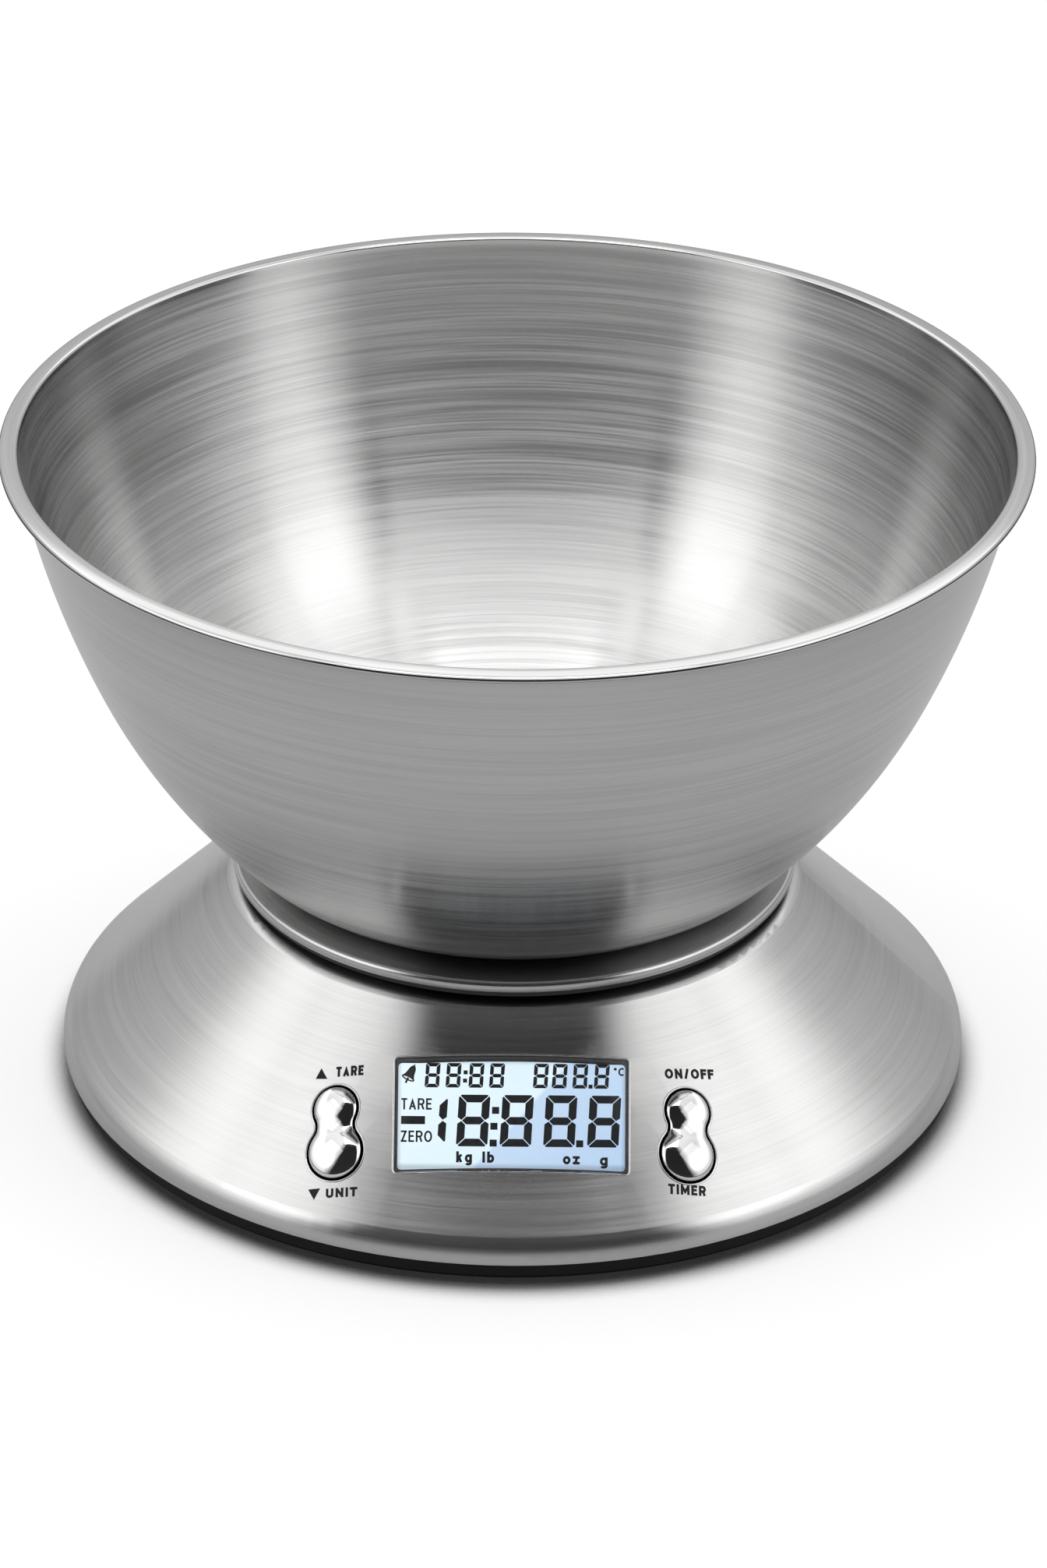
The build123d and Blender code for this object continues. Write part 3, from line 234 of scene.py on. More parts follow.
gap_glow = band(heading["Z"], *GAP_GLOW)
side_glow = band(heading["Z"], *LOW_SIDE, *HIGH_SIDE)
back_glow = band(heading["Z"], *LOW_BACK, *HIGH_BACK)
past_gap = spread(bearing, 0.0, 1.0, *GAP_EDGE)
past_side = spread(bearing, 0.0, 1.0, *CLOTH_EDGE)
all_round = mixed(past_side, mixed(past_gap, gap_glow, side_glow), back_glow)
glow = add(cloth, "Emission", {"Color": all_round, "Strength": 1.0})
add(cloth, "OutputMaterial", {"Surface": glow.outputs[0]})
print("glow painted by", len(cloth.nodes), "nodes")

# %% [markdown]
# Three soft boxes help the tent. Two stand to the left and the right of the camera
# and give the keys their clear lights. The third hangs almost straight overhead: it
# lights the lower cone, while the bowl's rim keeps it off the steel over the
# display. Each is an area lamp that the camera doesn't see.

# %% Stand the soft boxes
def soft_box(name, turn, rise, distance, size, power):
    """Lamp that looks at the scale, placed by its bearing from the front."""
    lamp = bpy.data.lights.new(name, "AREA")
    lamp.shape = "RECTANGLE"
    lamp.size, lamp.size_y = size
    lamp.energy = power
    stand = bpy.data.objects.new(name, lamp)
    turn, rise = radians(turn), radians(rise)
    away = Vector((sin(turn) * cos(rise), -cos(turn) * cos(rise), sin(rise)))
    stand.location = CAMERA_AIM + distance * away
    stand.rotation_euler = away.to_track_quat("Z", "Y").to_euler()
    stand.visible_camera = False
    bpy.context.scene.collection.objects.link(stand)
    return stand


side_box = dict(rise=38, distance=1.6, size=(0.8, 1.0), power=0.8)
soft_box("soft_box_left", turn=-62, **side_box)
soft_box("soft_box_right", turn=62, **side_box)
soft_box("top_box", turn=0, rise=80, distance=1.3, size=(0.9, 0.45), power=5.0)
print("lamps:", len(bpy.data.lights))

# %% [markdown]
# The floor is a wide sheet of pale paper. Lit this softly it looks light grey, and
# a product picture lifts it to white. So the sheet gives off a little light of its
# own, to rays from the camera and from glass, and in part to rays from gloss, and
# the scale's shadow stays on it. Close to the pan a painted contact shadow darkens
# the paper's colour and ends the lift, for the thin dark line under the scale. Far
# out the lift grows, so that no horizon shows in a low view.

# %% Lay the floor
FLOOR_HALF = 6.0
FLOOR_ALBEDO = 0.42
FIBRE_SCALE = 900.0
FIBRE_TONE = 0.01
FLOOR_LIFT = 0.62
FAR_LIFT = 0.3
FAR_EDGE = (0.8, 2.4)
GLOSS_SHARE = 0.25
CONTACT_SHADE_REACH = 9 * MM
CONTACT_RAYS = 8
CONTACT_SHADE_TONE = 0.04
CONTACT_SHADE_EDGE = (0.45, 0.8)


def flat_sheet(name, half):
    """Square sheet on the ground, with its node tree."""
    sheet = bmesh.new()
    bmesh.ops.create_grid(sheet, x_segments=1, y_segments=1, size=half)
    return on_stage(name, sheet)


_, paper = flat_sheet("floor", FLOOR_HALF)
fibre = add(paper, "TexNoise", {"Vector": object_place(paper), "Scale": FIBRE_SCALE}).outputs[0]
paper_tone = two_tone(fibre, FLOOR_ALBEDO - FIBRE_TONE, FLOOR_ALBEDO + FIBRE_TONE)
# Painted contact shadow: ambient occlusion darkens the paper's colour and its lift close to the
# pan.
open_sky = add(paper, "AmbientOcclusion", {"Distance": CONTACT_SHADE_REACH}, samples=CONTACT_RAYS)
painted_contact_shade = spread(open_sky.outputs["AO"], CONTACT_SHADE_TONE, 1.0, *CONTACT_SHADE_EDGE)
matt = add(paper, "BsdfDiffuse", {"Color": scaled(paper_tone, painted_contact_shade)})
ray = add(paper, "LightPath").outputs
clear_view = calc("MAXIMUM", ray["Is Camera Ray"], ray["Is Transmission Ray"])
spot = add(paper, "NewGeometry").outputs["Position"]
from_scale = vector_calc("LENGTH", spot)["Value"]
far_lift = spread(from_scale, FLOOR_LIFT, FLOOR_LIFT + FAR_LIFT, *FAR_EDGE)
clear_lift = calc("MULTIPLY", clear_view, far_lift)
glossy_lift = calc("MULTIPLY", ray["Is Glossy Ray"], FLOOR_LIFT * GLOSS_SHARE)
lift = calc("MULTIPLY", calc("MAXIMUM", clear_lift, glossy_lift), painted_contact_shade)
lifted = add(paper, "Emission", {"Strength": lift})
both = add(paper, "AddShader", {0: matt.outputs[0], 1: lifted.outputs[0]})
add(paper, "OutputMaterial", {"Surface": both.outputs[0]})
print("floor of", 2 * FLOOR_HALF, "m")

# %% [markdown]
# Steel near the floor would be all white if it saw pale paper everywhere. So a
# dark cloth lies on the paper round the set, with an oval hole for the scale that
# reaches far back. The camera looks through it too, and it casts no shadow. Its
# inner edge is painted soft, or a hard line would show in the steel.

# %% Dark cloth round the set
CLOTH_RAISE = 0.5 * MM
HOLE_CENTRE = (0.0, 0.6, 0.0)
HOLE_REACH = (0.36, 0.92, 1.0)
HOLE_EDGE = (0.9, 1.25)
THREAD_SCALE = 600.0
THREAD_TONES = (0.01, 0.03)

dark_cloth, weave = flat_sheet("dark_cloth", TENT_RADIUS)
dark_cloth.location.z = CLOTH_RAISE
for rays in ("camera", "transmission", "shadow", "diffuse"):
    setattr(dark_cloth, "visible_" + rays, False)
spot = add(weave, "NewGeometry").outputs["Position"]
spot = vector_calc("SUBTRACT", spot, HOLE_CENTRE)[0]
spot = vector_calc("DIVIDE", spot, HOLE_REACH)[0]
from_middle = vector_calc("LENGTH", spot)["Value"]
past_hole = spread(from_middle, 0.0, 1.0, *HOLE_EDGE)
threads = add(weave, "TexNoise", {"Vector": object_place(weave), "Scale": THREAD_SCALE}).outputs[0]
black = add(weave, "BsdfDiffuse", {"Color": two_tone(threads, *THREAD_TONES)})
hole = add(weave, "BsdfTransparent")
cloth_or_hole = add(weave, "MixShader", {0: past_hole, 1: hole.outputs[0], 2: black.outputs[0]})
add(weave, "OutputMaterial", {"Surface": cloth_or_hole.outputs[0]})
print("hole in the cloth:", [2 * reach for reach in HOLE_REACH[:2]], "m")

# %% [markdown]
# Every finish starts from one physically based shader. The solid model names a
# material for each slot of the part, so a finish is built inside the material
# that is already there, and every piece with that slot takes it. Values that are
# the same all over are set on the shader itself.

# %% Helpers for finishes
def socket_name(word):
    """Shader socket for a plain word, such as Specular IOR Level."""
    return word.replace("_", " ").title().replace("Ior", "IOR")


def finish(slot, **values):
    """Clear a slot's material to one Principled shader and set its even values."""
    material = bpy.data.materials.get(slot) or bpy.data.materials.new(slot)
    material.use_nodes = True
    tree = material.node_tree
    tree.nodes.clear()
    shader = add(tree, "BsdfPrincipled")
    for word, value in values.items():
        shader.inputs[socket_name(word)].default_value = value
    add(tree, "OutputMaterial", {"Surface": shader.outputs[0]})
    return material, tree, shader


def feed(shader, **sockets):
    """Link patterns into the shader."""
    for word, output in sockets.items():
        shader.id_data.links.new(output, shader.inputs[socket_name(word)])


def bumped(height, depth):
    """Surface direction that follows a pattern of this depth."""
    sockets = {"Strength": 1.0, "Distance": depth, "Height": height}
    return add(height.id_data, "Bump", sockets).outputs[0]


print("slots:", len(bpy.data.materials))

# %% [markdown]
# The bowl, the ring under it and the base are steel, brushed while they turn, so
# the scratches run round them. Scratches spread a reflection across themselves:
# each lamp becomes a band that runs up the wall. The shader does this with
# anisotropy, and its tangent is taken round the Z axis. The visible streaks are
# two noises, fine lines and broader bands, drawn out along the turn and squeezed
# across it.

# %% Streaks that run round
STREAK_WIDTH = 0.42 * MM
BAND_WIDTH = 2.0 * MM
STREAKS_ROUND = 1.7
BANDS_ROUND = 0.8
STREAK_DETAIL = 3.0
BAND_DETAIL = 2.0
STREAK_SHARE = 0.55
BAND_SHARE = 0.45
STREAK_ROUGHNESS = 0.6


def turned_noise(tree, across, width, cells_round, detail):
    """Noise drawn out round Z: a few cells per turn, many across the turn."""
    where = object_place(tree)
    flat = vector_calc("MULTIPLY", where, (1, 1, 0))[0]
    heading = add(tree, "SeparateXYZ", {0: vector_calc("NORMALIZE", flat)[0]}).outputs
    radius = vector_calc("LENGTH", flat)["Value"]
    height = add(tree, "SeparateXYZ", {0: where}).outputs["Z"]
    by_radius = calc("MULTIPLY", radius, across[0])
    by_height = calc("MULTIPLY", height, across[1])
    along_wall = calc("ADD", by_radius, by_height)
    cells = {
        0: calc("MULTIPLY", heading["X"], cells_round),
        1: calc("MULTIPLY", heading["Y"], cells_round),
        2: calc("DIVIDE", along_wall, width),
    }
    place = add(tree, "CombineXYZ", cells).outputs[0]
    sockets = {"Vector": place, "Scale": 1.0, "Detail": detail, "Roughness": STREAK_ROUGHNESS}
    return add(tree, "TexNoise", sockets).outputs[0]


def brush_marks(tree, across):
    """Fine lines and broader bands together."""
    lines = turned_noise(tree, across, STREAK_WIDTH, STREAKS_ROUND, STREAK_DETAIL)
    bands = turned_noise(tree, across, BAND_WIDTH, BANDS_ROUND, BAND_DETAIL)
    lines = calc("MULTIPLY", lines, STREAK_SHARE)
    return calc("ADD", lines, calc("MULTIPLY", bands, BAND_SHARE))


print("a line is", round(STREAK_WIDTH / MM, 2), "mm wide and a band", round(BAND_WIDTH / MM, 2))

# %% [markdown]
# One helper now makes the steel of all three pieces. Each has its own range of
# grey and roughness. On the bowl, the way across the streaks runs outwards and up,
# and on the base outwards and down. The bowl's lip is rubbed smoother than its wall.

# %% Brushed steel
UP_THE_BOWL = (0.7, 0.7)
DOWN_THE_CONE = (0.7, -0.7)
SOFT_STREAKS = (0.36, 0.64)
CLEAR_STREAKS = (0.42, 0.58)
LIP_HEIGHTS = (137.5 * MM, 137.8 * MM)
LIP_POLISH = 0.45
ANISOTROPY = {"anisotropic": 0.9, "anisotropic_rotation": 0.25}
WARMTH = (1.0, 0.998, 0.994)


def warm(grey):
    """Steel's grey, a trace warmer than plain grey."""
    return tuple(grey * share for share in WARMTH)


def brushed_steel(slot, across, grey, rough, bump, stops=SOFT_STREAKS, lip_polish=1.0):
    """Steel brushed round Z, with its streaks in colour, shine and bump."""
    _, tree, shader = finish(slot, metallic=1.0, **ANISOTROPY)
    marks = brush_marks(tree, across)
    dark, light = grey
    height = add(tree, "SeparateXYZ", {0: object_place(tree)}).outputs["Z"]
    polish = spread(height, 1.0, lip_polish, *LIP_HEIGHTS)
    feed(
        shader,
        base_color=two_tone(marks, warm(dark), warm(light), *stops),
        roughness=calc("MULTIPLY", spread(marks, *rough), polish),
        normal=bumped(marks, bump),
        tangent=add(tree, "Tangent", direction_type="RADIAL", axis="Z").outputs[0],
    )


bowl_look = ((0.54, 0.63), (0.16, 0.28), 0.0012 * MM, CLEAR_STREAKS, LIP_POLISH)
brushed_steel("bowl_steel", UP_THE_BOWL, *bowl_look)
brushed_steel("platform_steel", DOWN_THE_CONE, (0.55, 0.62), (0.19, 0.25), 0.0007 * MM)
brushed_steel("cover_steel", DOWN_THE_CONE, (0.55, 0.62), (0.19, 0.25), 0.0008 * MM)
print("steel on", [n for n in ("bowl", "platform_plate", "base_cover") if nodes[n].data.materials])

# %% [markdown]
# The rest of the scale is moulded, plated or printed. These surfaces look alike
# in one way: a slow change of tone over the piece, and a fine grain that breaks
# up the shine. Two noises give both, each sized in real millimetres, so that one
# helper makes plastic, rubber, plating and machined metal.

# %% Helpers for plain surfaces
SLOW_TONE = 16 * MM
TONE_SHARES = (0.88, 1.12)
TONE_STOPS = (0.35, 0.65)
FINE_DETAIL = 3.0


def noise(tree, size, detail=2.0, stretch=(1, 1, 1)):
    """Noise with cells about this big; a stretch above 1 packs them closer."""
    packed = tuple(axis / size for axis in stretch)
    place = vector_calc("MULTIPLY", object_place(tree), packed)[0]
    return add(tree, "TexNoise", {"Vector": place, "Scale": 1.0, "Detail": detail}).outputs[0]


def shade(colour, share):
    """Colour made darker or lighter, at most white."""
    return tuple(min(1.0, part * share) for part in colour)


def grained(slot, colour, rough, grain, depth, stretch=(1, 1, 1), **values):
    """Finish with a slow change of tone and a fine grain in its shine and bump."""
    _, tree, shader = finish(slot, **values)
    tone = noise(tree, SLOW_TONE)
    fine = noise(tree, grain, FINE_DETAIL, stretch)
    dark, light = (shade(colour, share) for share in TONE_SHARES)
    feed(
        shader,
        base_color=two_tone(tone, dark, light, *TONE_STOPS),
        roughness=spread(fine, *rough),
        normal=bumped(fine, depth),
    )


def mottled(slot, size, tones, rough, detail=FINE_DETAIL, **values):
    """Finish whose tone and shine follow one noise."""
    material, tree, shader = finish(slot, **values)
    pattern = noise(tree, size, detail)
    tone, shine = two_tone(pattern, *tones), spread(pattern, *rough)
    feed(shader, base_color=tone, roughness=shine)
    return material


print("grain helpers ready")

# %% [markdown]
# The pan under the base, its battery door and the inner housing are black
# plastic from a spark-eroded mould, which leaves a fine matt grain. The feet are
# rubber, duller and coarser. Chrome is the opposite: almost no grain, so it shows
# the tent as clear patches. Screws and contacts are plated too, but duller. The
# table gives a slot's colour, its range of roughness, and the size and depth of its
# grain in millimetres.

# %% Plastics, rubber and plating
PLAIN_FINISHES = {
    "black_plastic": ((0.016, 0.016, 0.017), (0.42, 0.55), 0.30, 0.010),
    "door_plastic": ((0.017, 0.017, 0.018), (0.46, 0.60), 0.35, 0.014),
    "white_plastic": ((0.74, 0.74, 0.71), (0.38, 0.50), 0.40, 0.006),
    "backlight_plastic": ((0.78, 0.85, 0.90), (0.45, 0.60), 0.20, 0.004),
    "switch_plastic": ((0.022, 0.022, 0.022), (0.35, 0.45), 0.25, 0.004),
    "foot_rubber": ((0.030, 0.030, 0.031), (0.74, 0.88), 0.55, 0.030),
    "chip_resin": ((0.012, 0.012, 0.012), (0.18, 0.30), 1.60, 0.030),
    "gauge_coat": ((0.78, 0.77, 0.72), (0.30, 0.45), 1.20, 0.040),
    "cable_sheath": ((0.50, 0.50, 0.50), (0.40, 0.52), 0.40, 0.006),
    "lead_red": ((0.45, 0.022, 0.020), (0.36, 0.48), 0.40, 0.006),
    "lead_black": ((0.020, 0.020, 0.020), (0.36, 0.48), 0.40, 0.006),
    "pan_plastic": ((0.012, 0.012, 0.013), (0.46, 0.60), 0.35, 0.014),
    "key_chrome": ((0.80, 0.80, 0.81), (0.03, 0.07), 2.50, 0.0004),
    "screw_steel": ((0.52, 0.52, 0.50), (0.24, 0.38), 0.50, 0.006),
    "contact_metal": ((0.66, 0.63, 0.56), (0.20, 0.32), 0.60, 0.003),
}
METAL = {"metallic": 1.0}
EXTRAS = {"key_chrome": METAL, "screw_steel": METAL, "contact_metal": METAL}
EXTRAS["pan_plastic"] = {"specular_ior_level": 0.2}

for slot, (colour, rough, grain, depth) in PLAIN_FINISHES.items():
    grained(slot, colour, rough, grain * MM, depth * MM, **EXTRAS.get(slot, {}))
print("plain finishes made:", len(PLAIN_FINISHES))

# %% [markdown]
# The load cell is milled aluminium with fine cutter marks along its length. The
# circuit boards are green solder mask over copper tracks, and the strip between
# glass and board is silicone with conducting layers, which show as fine stripes.
# Each cell in the bay has a plain green sleeve with one pale ring and bare ends.

# %% Load cell, boards and batteries
TRACK_SPACING = 3 * MM
TRACK_SHARE = 0.08
TRACK_HEIGHT = 0.03 * MM
LAYER_SPACING = 2.5 * MM
SLEEVE_HALF = 25 * MM

milled_look = ((0.70, 0.70, 0.71), (0.28, 0.40), 0.25 * MM, 0.004 * MM, (0.02, 1, 1))
grained("load_cell_aluminium", *milled_look, **METAL)


def circuit_board():
    """Green mask with paler lines where it runs over copper."""
    _, tree, shader = finish("circuit_board", roughness=0.32, coat_weight=0.3)
    greens = {"Color1": (0.010, 0.110, 0.050, 1), "Color2": (0.014, 0.130, 0.060, 1)}
    copper = {"Mortar": (0.045, 0.230, 0.110, 1), "Mortar Size": TRACK_SHARE}
    layout = {"Vector": object_place(tree), "Scale": 1 / TRACK_SPACING}
    tracks = add(tree, "TexBrick", greens | copper | layout).outputs
    raised = bumped(tracks["Fac"], TRACK_HEIGHT)
    feed(shader, base_color=tracks["Color"], normal=raised)


def contact_strip():
    """Silicone with thin conducting layers across its length."""
    _, tree, shader = finish("strip_rubber", roughness=0.7)
    layers = add(tree, "TexWave", {"Vector": object_place(tree), "Scale": 1 / LAYER_SPACING})
    silicone, carbon = (0.50, 0.34, 0.35), (0.05, 0.04, 0.04)
    stripes = band(layers.outputs[1], (0.40, silicone), (0.60, carbon))
    feed(shader, base_color=stripes)


def battery_sleeve():
    """Plain green sleeve with one pale ring and bare steel ends."""
    _, tree, shader = finish("battery_wrap")
    along = add(tree, "SeparateXYZ", {0: object_place(tree)}).outputs["X"]
    reach = spread(calc("ABSOLUTE", along), 0.0, 1.0, 0.0, SLEEVE_HALF)
    green, pale, steel = (0.05, 0.26, 0.11), (0.62, 0.66, 0.60), (0.55, 0.55, 0.54)
    ring = ((0.62, green), (0.63, pale), (0.70, pale), (0.71, green))
    colour = band(reach, (0.0, green), *ring, (0.82, green), (0.83, steel))
    bare = band(reach, (0.82, 0.0), (0.83, 1.0))
    shine = spread(noise(tree, 1.5 * MM), 0.22, 0.34)
    feed(shader, base_color=colour, metallic=bare, roughness=shine)


circuit_board()
contact_strip()
battery_sleeve()
print("inner finishes made")

# %% [markdown]
# The display lies in a flat panel that leans back with the cone. Its marks have
# to lie exactly on the glass, so the panel's own axes are measured from the glass
# itself: one across, one up the slope and one outwards.

# %% Measure the display panel
glass_mesh = nodes["lcd_glass"].data
panel_out = max(glass_mesh.polygons, key=lambda face: face.area).normal.copy()
panel_out *= 1 if panel_out.z > 0 else -1
panel_across = Vector((1, 0, 0))
panel_up = panel_out.cross(panel_across)
glass_low, glass_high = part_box("lcd_glass")
glass_middle = (glass_low + glass_high) / 2
glass_front = max(point.co.dot(panel_out) for point in glass_mesh.vertices)
panel_middle = glass_middle + (glass_front - glass_middle.dot(panel_out)) * panel_out


def on_panel(x, y, height):
    """Point on the display glass from millimetres across, up and out."""
    return panel_middle + MM * (x * panel_across + y * panel_up + height * panel_out)


print("panel leans", round(degrees(atan2(panel_up.z, panel_up.y)), 2), "degrees at", panel_middle)

# %% [markdown]
# The glass glows blue-white from the lamp behind it. Over it lies a painted sheen:
# a diagonal edge splits it into a paler and a deeper half, as a glare on a display
# does. Near the frame a painted shade darkens the glow, where the frame shades it.
# All of this is painted from the distance along the panel's axes, so it stays in
# place on the part. In the steel around it the glow shows only faintly, so it is cut
# for rays that come from a reflection.

# %% Backlit glass
SHEEN_POINT = (1.97, 0.66)
SHEEN_NORMAL = (0.753, -0.658)
SHEEN_REACH = 25 * MM
SHEEN_PALE_HALF = ((0.0, (0.80, 0.93, 1.00)), (0.494, (0.72, 0.88, 0.98)))
SHEEN_DEEP_HALF = ((0.506, (0.52, 0.68, 0.88)), (1.0, (0.44, 0.61, 0.84)))
VIEW_HALF = (22.3, 10.75)
VIEW_RISE = 0.88
FRAME_SHADE_WIDTH = 0.9
SHADED_EDGE_GLOW = 0.62
STEEL_SHARE = 0.1

_, tree, shader = finish("lcd_panel", specular_ior_level=0.25, emission_strength=1.0)
place = object_place(tree)


def panel_distance(x_share, y_share, start):
    """Distance along a direction in the panel, from a point on the glass."""
    heading = x_share * panel_across + y_share * panel_up
    along = vector_calc("DOT_PRODUCT", place, heading)["Value"]
    return calc("SUBTRACT", along, heading.dot(on_panel(*start, 0)))


# Painted shade: the glow is made darker close to the frame, where the frame shades it.
def painted_frame_shade(distance, half_span):
    """Glow made darker close to the frame: painted shade of the frame."""
    off = calc("ABSOLUTE", distance)
    return spread(off, 1.0, SHADED_EDGE_GLOW, (half_span - FRAME_SHADE_WIDTH) * MM, half_span * MM)


# Painted sheen: the glow's tint is split along a diagonal into a paler and a deeper half.
across_sheen = panel_distance(*SHEEN_NORMAL, SHEEN_POINT)
past_sheen = spread(across_sheen, 0.0, 1.0, -SHEEN_REACH, SHEEN_REACH)
tint = band(past_sheen, *SHEEN_PALE_HALF, *SHEEN_DEEP_HALF)
frame_shade_x = painted_frame_shade(panel_distance(1, 0, (0, 0)), VIEW_HALF[0])
frame_shade_y = painted_frame_shade(panel_distance(0, 1, (0, VIEW_RISE)), VIEW_HALF[1])
shaded_glow = calc("MULTIPLY", frame_shade_x, frame_shade_y)
mirrored = calc("MINIMUM", add(tree, "LightPath").outputs["Glossy Depth"], 1.0)
in_steel = calc("MULTIPLY", mirrored, 1 - STEEL_SHARE)
shaded_glow = calc("MULTIPLY", shaded_glow, calc("SUBTRACT", 1.0, in_steel))
# The unlit glass is a trace darker on the deep half of the painted sheen.
unlit = band(past_sheen, (0.0, 0.10), (1.0, 0.07))
feed(shader, base_color=unlit, emission_color=scaled(tint, shaded_glow))
feed(shader, roughness=spread(noise(tree, 0.2 * MM), 0.25, 0.35))
print("glass lit over", [2 * half for half in VIEW_HALF], "mm")

# %% [markdown]
# A clear plastic lens closes the window over the glass. It is a shader that lets
# light through, with faint smudges in its tint and its shine. It bends light less
# than real plastic does, so that it doesn't mirror the tent over the digits.

# %% Clear lens
SMUDGE_SIZE = 6 * MM
SMUDGE_TINTS = ((0.97, 0.98, 0.99), (0.99, 1.0, 1.0))
LENS = {"transmission_weight": 1.0, "ior": 1.3}

clear = mottled("lens_clear", SMUDGE_SIZE, SMUDGE_TINTS, (0.0, 0.02), **LENS)
print("lens nodes:", len(clear.node_tree.nodes))

# %% [markdown]
# The marks on the display are liquid crystal between two sheets of glass, so they
# are a hair's breadth of black on it. A painted picture would blur up close, so
# each mark is a very thin closed prism over a flat outline.

# %% Helpers for thin marks
MARK_THICKNESS = 0.04
SAME_POINT = 1e-7


def show(name, points, faces, body, slot, material, smooth=False):
    """New mesh piece in the frame's own place, on a body and with its finish."""
    mesh = bpy.data.meshes.new(name)
    mesh.from_pydata(points, [], faces)
    shape = bmesh.new()
    shape.from_mesh(mesh)
    bmesh.ops.remove_doubles(shape, verts=shape.verts, dist=SAME_POINT)
    bmesh.ops.recalc_face_normals(shape, faces=shape.faces)
    shape.to_mesh(mesh)
    shape.free()
    mesh.polygons.foreach_set("use_smooth", [smooth] * len(mesh.polygons))
    mesh.materials.append(material)
    made = bpy.data.objects.new(name, mesh)
    bpy.context.scene.collection.objects.link(made)
    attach(made, body)
    return made


def quads(count, rows, looped=False):
    """Faces between rows of points, where each row is a ring of this count."""
    faces = []
    afters = [(i + 1) % count for i in range(count)]
    for row in range(rows if looped else rows - 1):
        here, there = row * count, (row + 1) % rows * count
        faces += [(here + i, here + j, there + j, there + i) for i, j in enumerate(afters)]
    return faces


def prism(outline, place, thickness):
    """Points and faces of a thin slab over a flat outline."""
    count = len(outline)
    points = [place(x, y, height) for height in (0, thickness) for x, y in outline]
    ends = [tuple(reversed(range(count))), tuple(range(count, 2 * count))]
    return points, ends + quads(count, 2)


def together(solids):
    """One list of points and one of faces from several solids."""
    points, faces = [], []
    for more_points, more_faces in solids:
        start = len(points)
        points += more_points
        faces += [tuple(start + i for i in face) for face in more_faces]
    return points, faces


def shrunk(outline, gap):
    """Outline moved inwards by an even gap; the outline runs anticlockwise."""
    moved = []
    befores, afters = outline[-1:] + outline[:-1], outline[1:] + outline[:1]
    for before, corner, after in zip(befores, outline, afters):
        first = (Vector(corner) - Vector(before)).normalized()
        second = (Vector(after) - Vector(corner)).normalized()
        inwards = Vector((-first.y - second.y, first.x + second.x))
        moved.append(Vector(corner) + inwards * gap / (1 + first.dot(second)))
    return [tuple(point) for point in moved]


print("mark helpers ready")

# %% [markdown]
# A digit is seven slanted bars with mitred ends. One top bar, one side bar and the
# middle bar are drawn, and the others are mirrored from them. All the bars show at
# once, as in a display's test picture, so no reading has to be chosen.

# %% Seven-bar digits
MITRE = 0.35
CRYSTAL_TONES = ((0.003, 0.003, 0.005), (0.007, 0.008, 0.011))
CRYSTAL_DETAIL = 2.0


def bars_of_eight(left, base, width, height, stroke, slant, gap):
    """Outlines of the seven bars of one digit, as they all show at once."""
    cut = MITRE * stroke
    half, head = height / 2, height - cut / 2
    inside, under = width - stroke, height - stroke
    top = [(cut / 2, head), (stroke, under), (inside, under)]
    top += [(width - cut / 2, head), (width - cut, height), (cut, height)]
    side = [(width - cut / 2, head), (inside, under), (inside, half + stroke / 2)]
    side += [(width - stroke / 2, half), (width, half + cut), (width, height - cut)]
    middle = [(stroke / 2, half), (stroke, half - stroke / 2), (inside, half - stroke / 2)]
    middle += [(width - stroke / 2, half), (inside, half + stroke / 2), (stroke, half + stroke / 2)]
    flip_x = lambda bar: [(width - x, y) for x, y in reversed(bar)]
    flip_y = lambda bar: [(x, height - y) for x, y in reversed(bar)]
    leaned = lambda x, y: (left + x + slant * y / height, base + y)
    bars = [top, flip_y(top), middle, side, flip_x(side), flip_y(side), flip_x(flip_y(side))]
    return [[leaned(*corner) for corner in shrunk(bar, gap)] for bar in bars]


def square(x, y, size):
    """Outline of a square dot."""
    half = size / 2
    return [(x - half, y - half), (x + half, y - half), (x + half, y + half), (x - half, y + half)]


crystal = mottled(
    "crystal_black", 1.5 * MM, CRYSTAL_TONES, (0.35, 0.5), CRYSTAL_DETAIL, specular_ior_level=0.05
)
print("bars of a digit:", len(bars_of_eight(0, 0, 6, 10, 1, 0, 0)))

# %% [markdown]
# The display has two rows: small digits for the clock and the temperature on top,
# and large ones for the weight under them. Their places are millimetres from the
# middle of the glass. All bars and dots become one piece, because they are one
# layer on the real glass and never move apart.

# %% Digits on the display
SMALL_DIGITS = (-17.12, -13.02, -8.54, -4.51, 4.08, 7.76, 11.79, 15.99)
SMALL_LOOK = dict(base=6.08, width=2.92, height=5.02, stroke=0.80, slant=0.30, gap=0.04)
SMALL_DOTS = ((-9.05, 9.19), (-9.16, 7.53), (15.40, 6.52))
SMALL_DOT = 0.80
MAIN_DIGITS = (-10.91, -2.39, 6.11, 14.67)
MAIN_LOOK = dict(base=-5.78, width=6.30, height=10.56, stroke=1.72, slant=0.55, gap=0.08)
MAIN_DOTS = ((-3.12, 1.58), (-3.42, -1.62), (-3.54, -5.00), (13.34, -5.00))
MAIN_DOT = 1.40
LEADING_ONE = -19.05
LEADING_LOOK = MAIN_LOOK | dict(base=-5.25, width=6.18, height=9.5)
RIGHT_BARS = (3, 5)
MINUS_BAR = [(-21.57, -1.33), (-16.88, -1.33), (-16.88, 0.31), (-21.57, 0.31)]

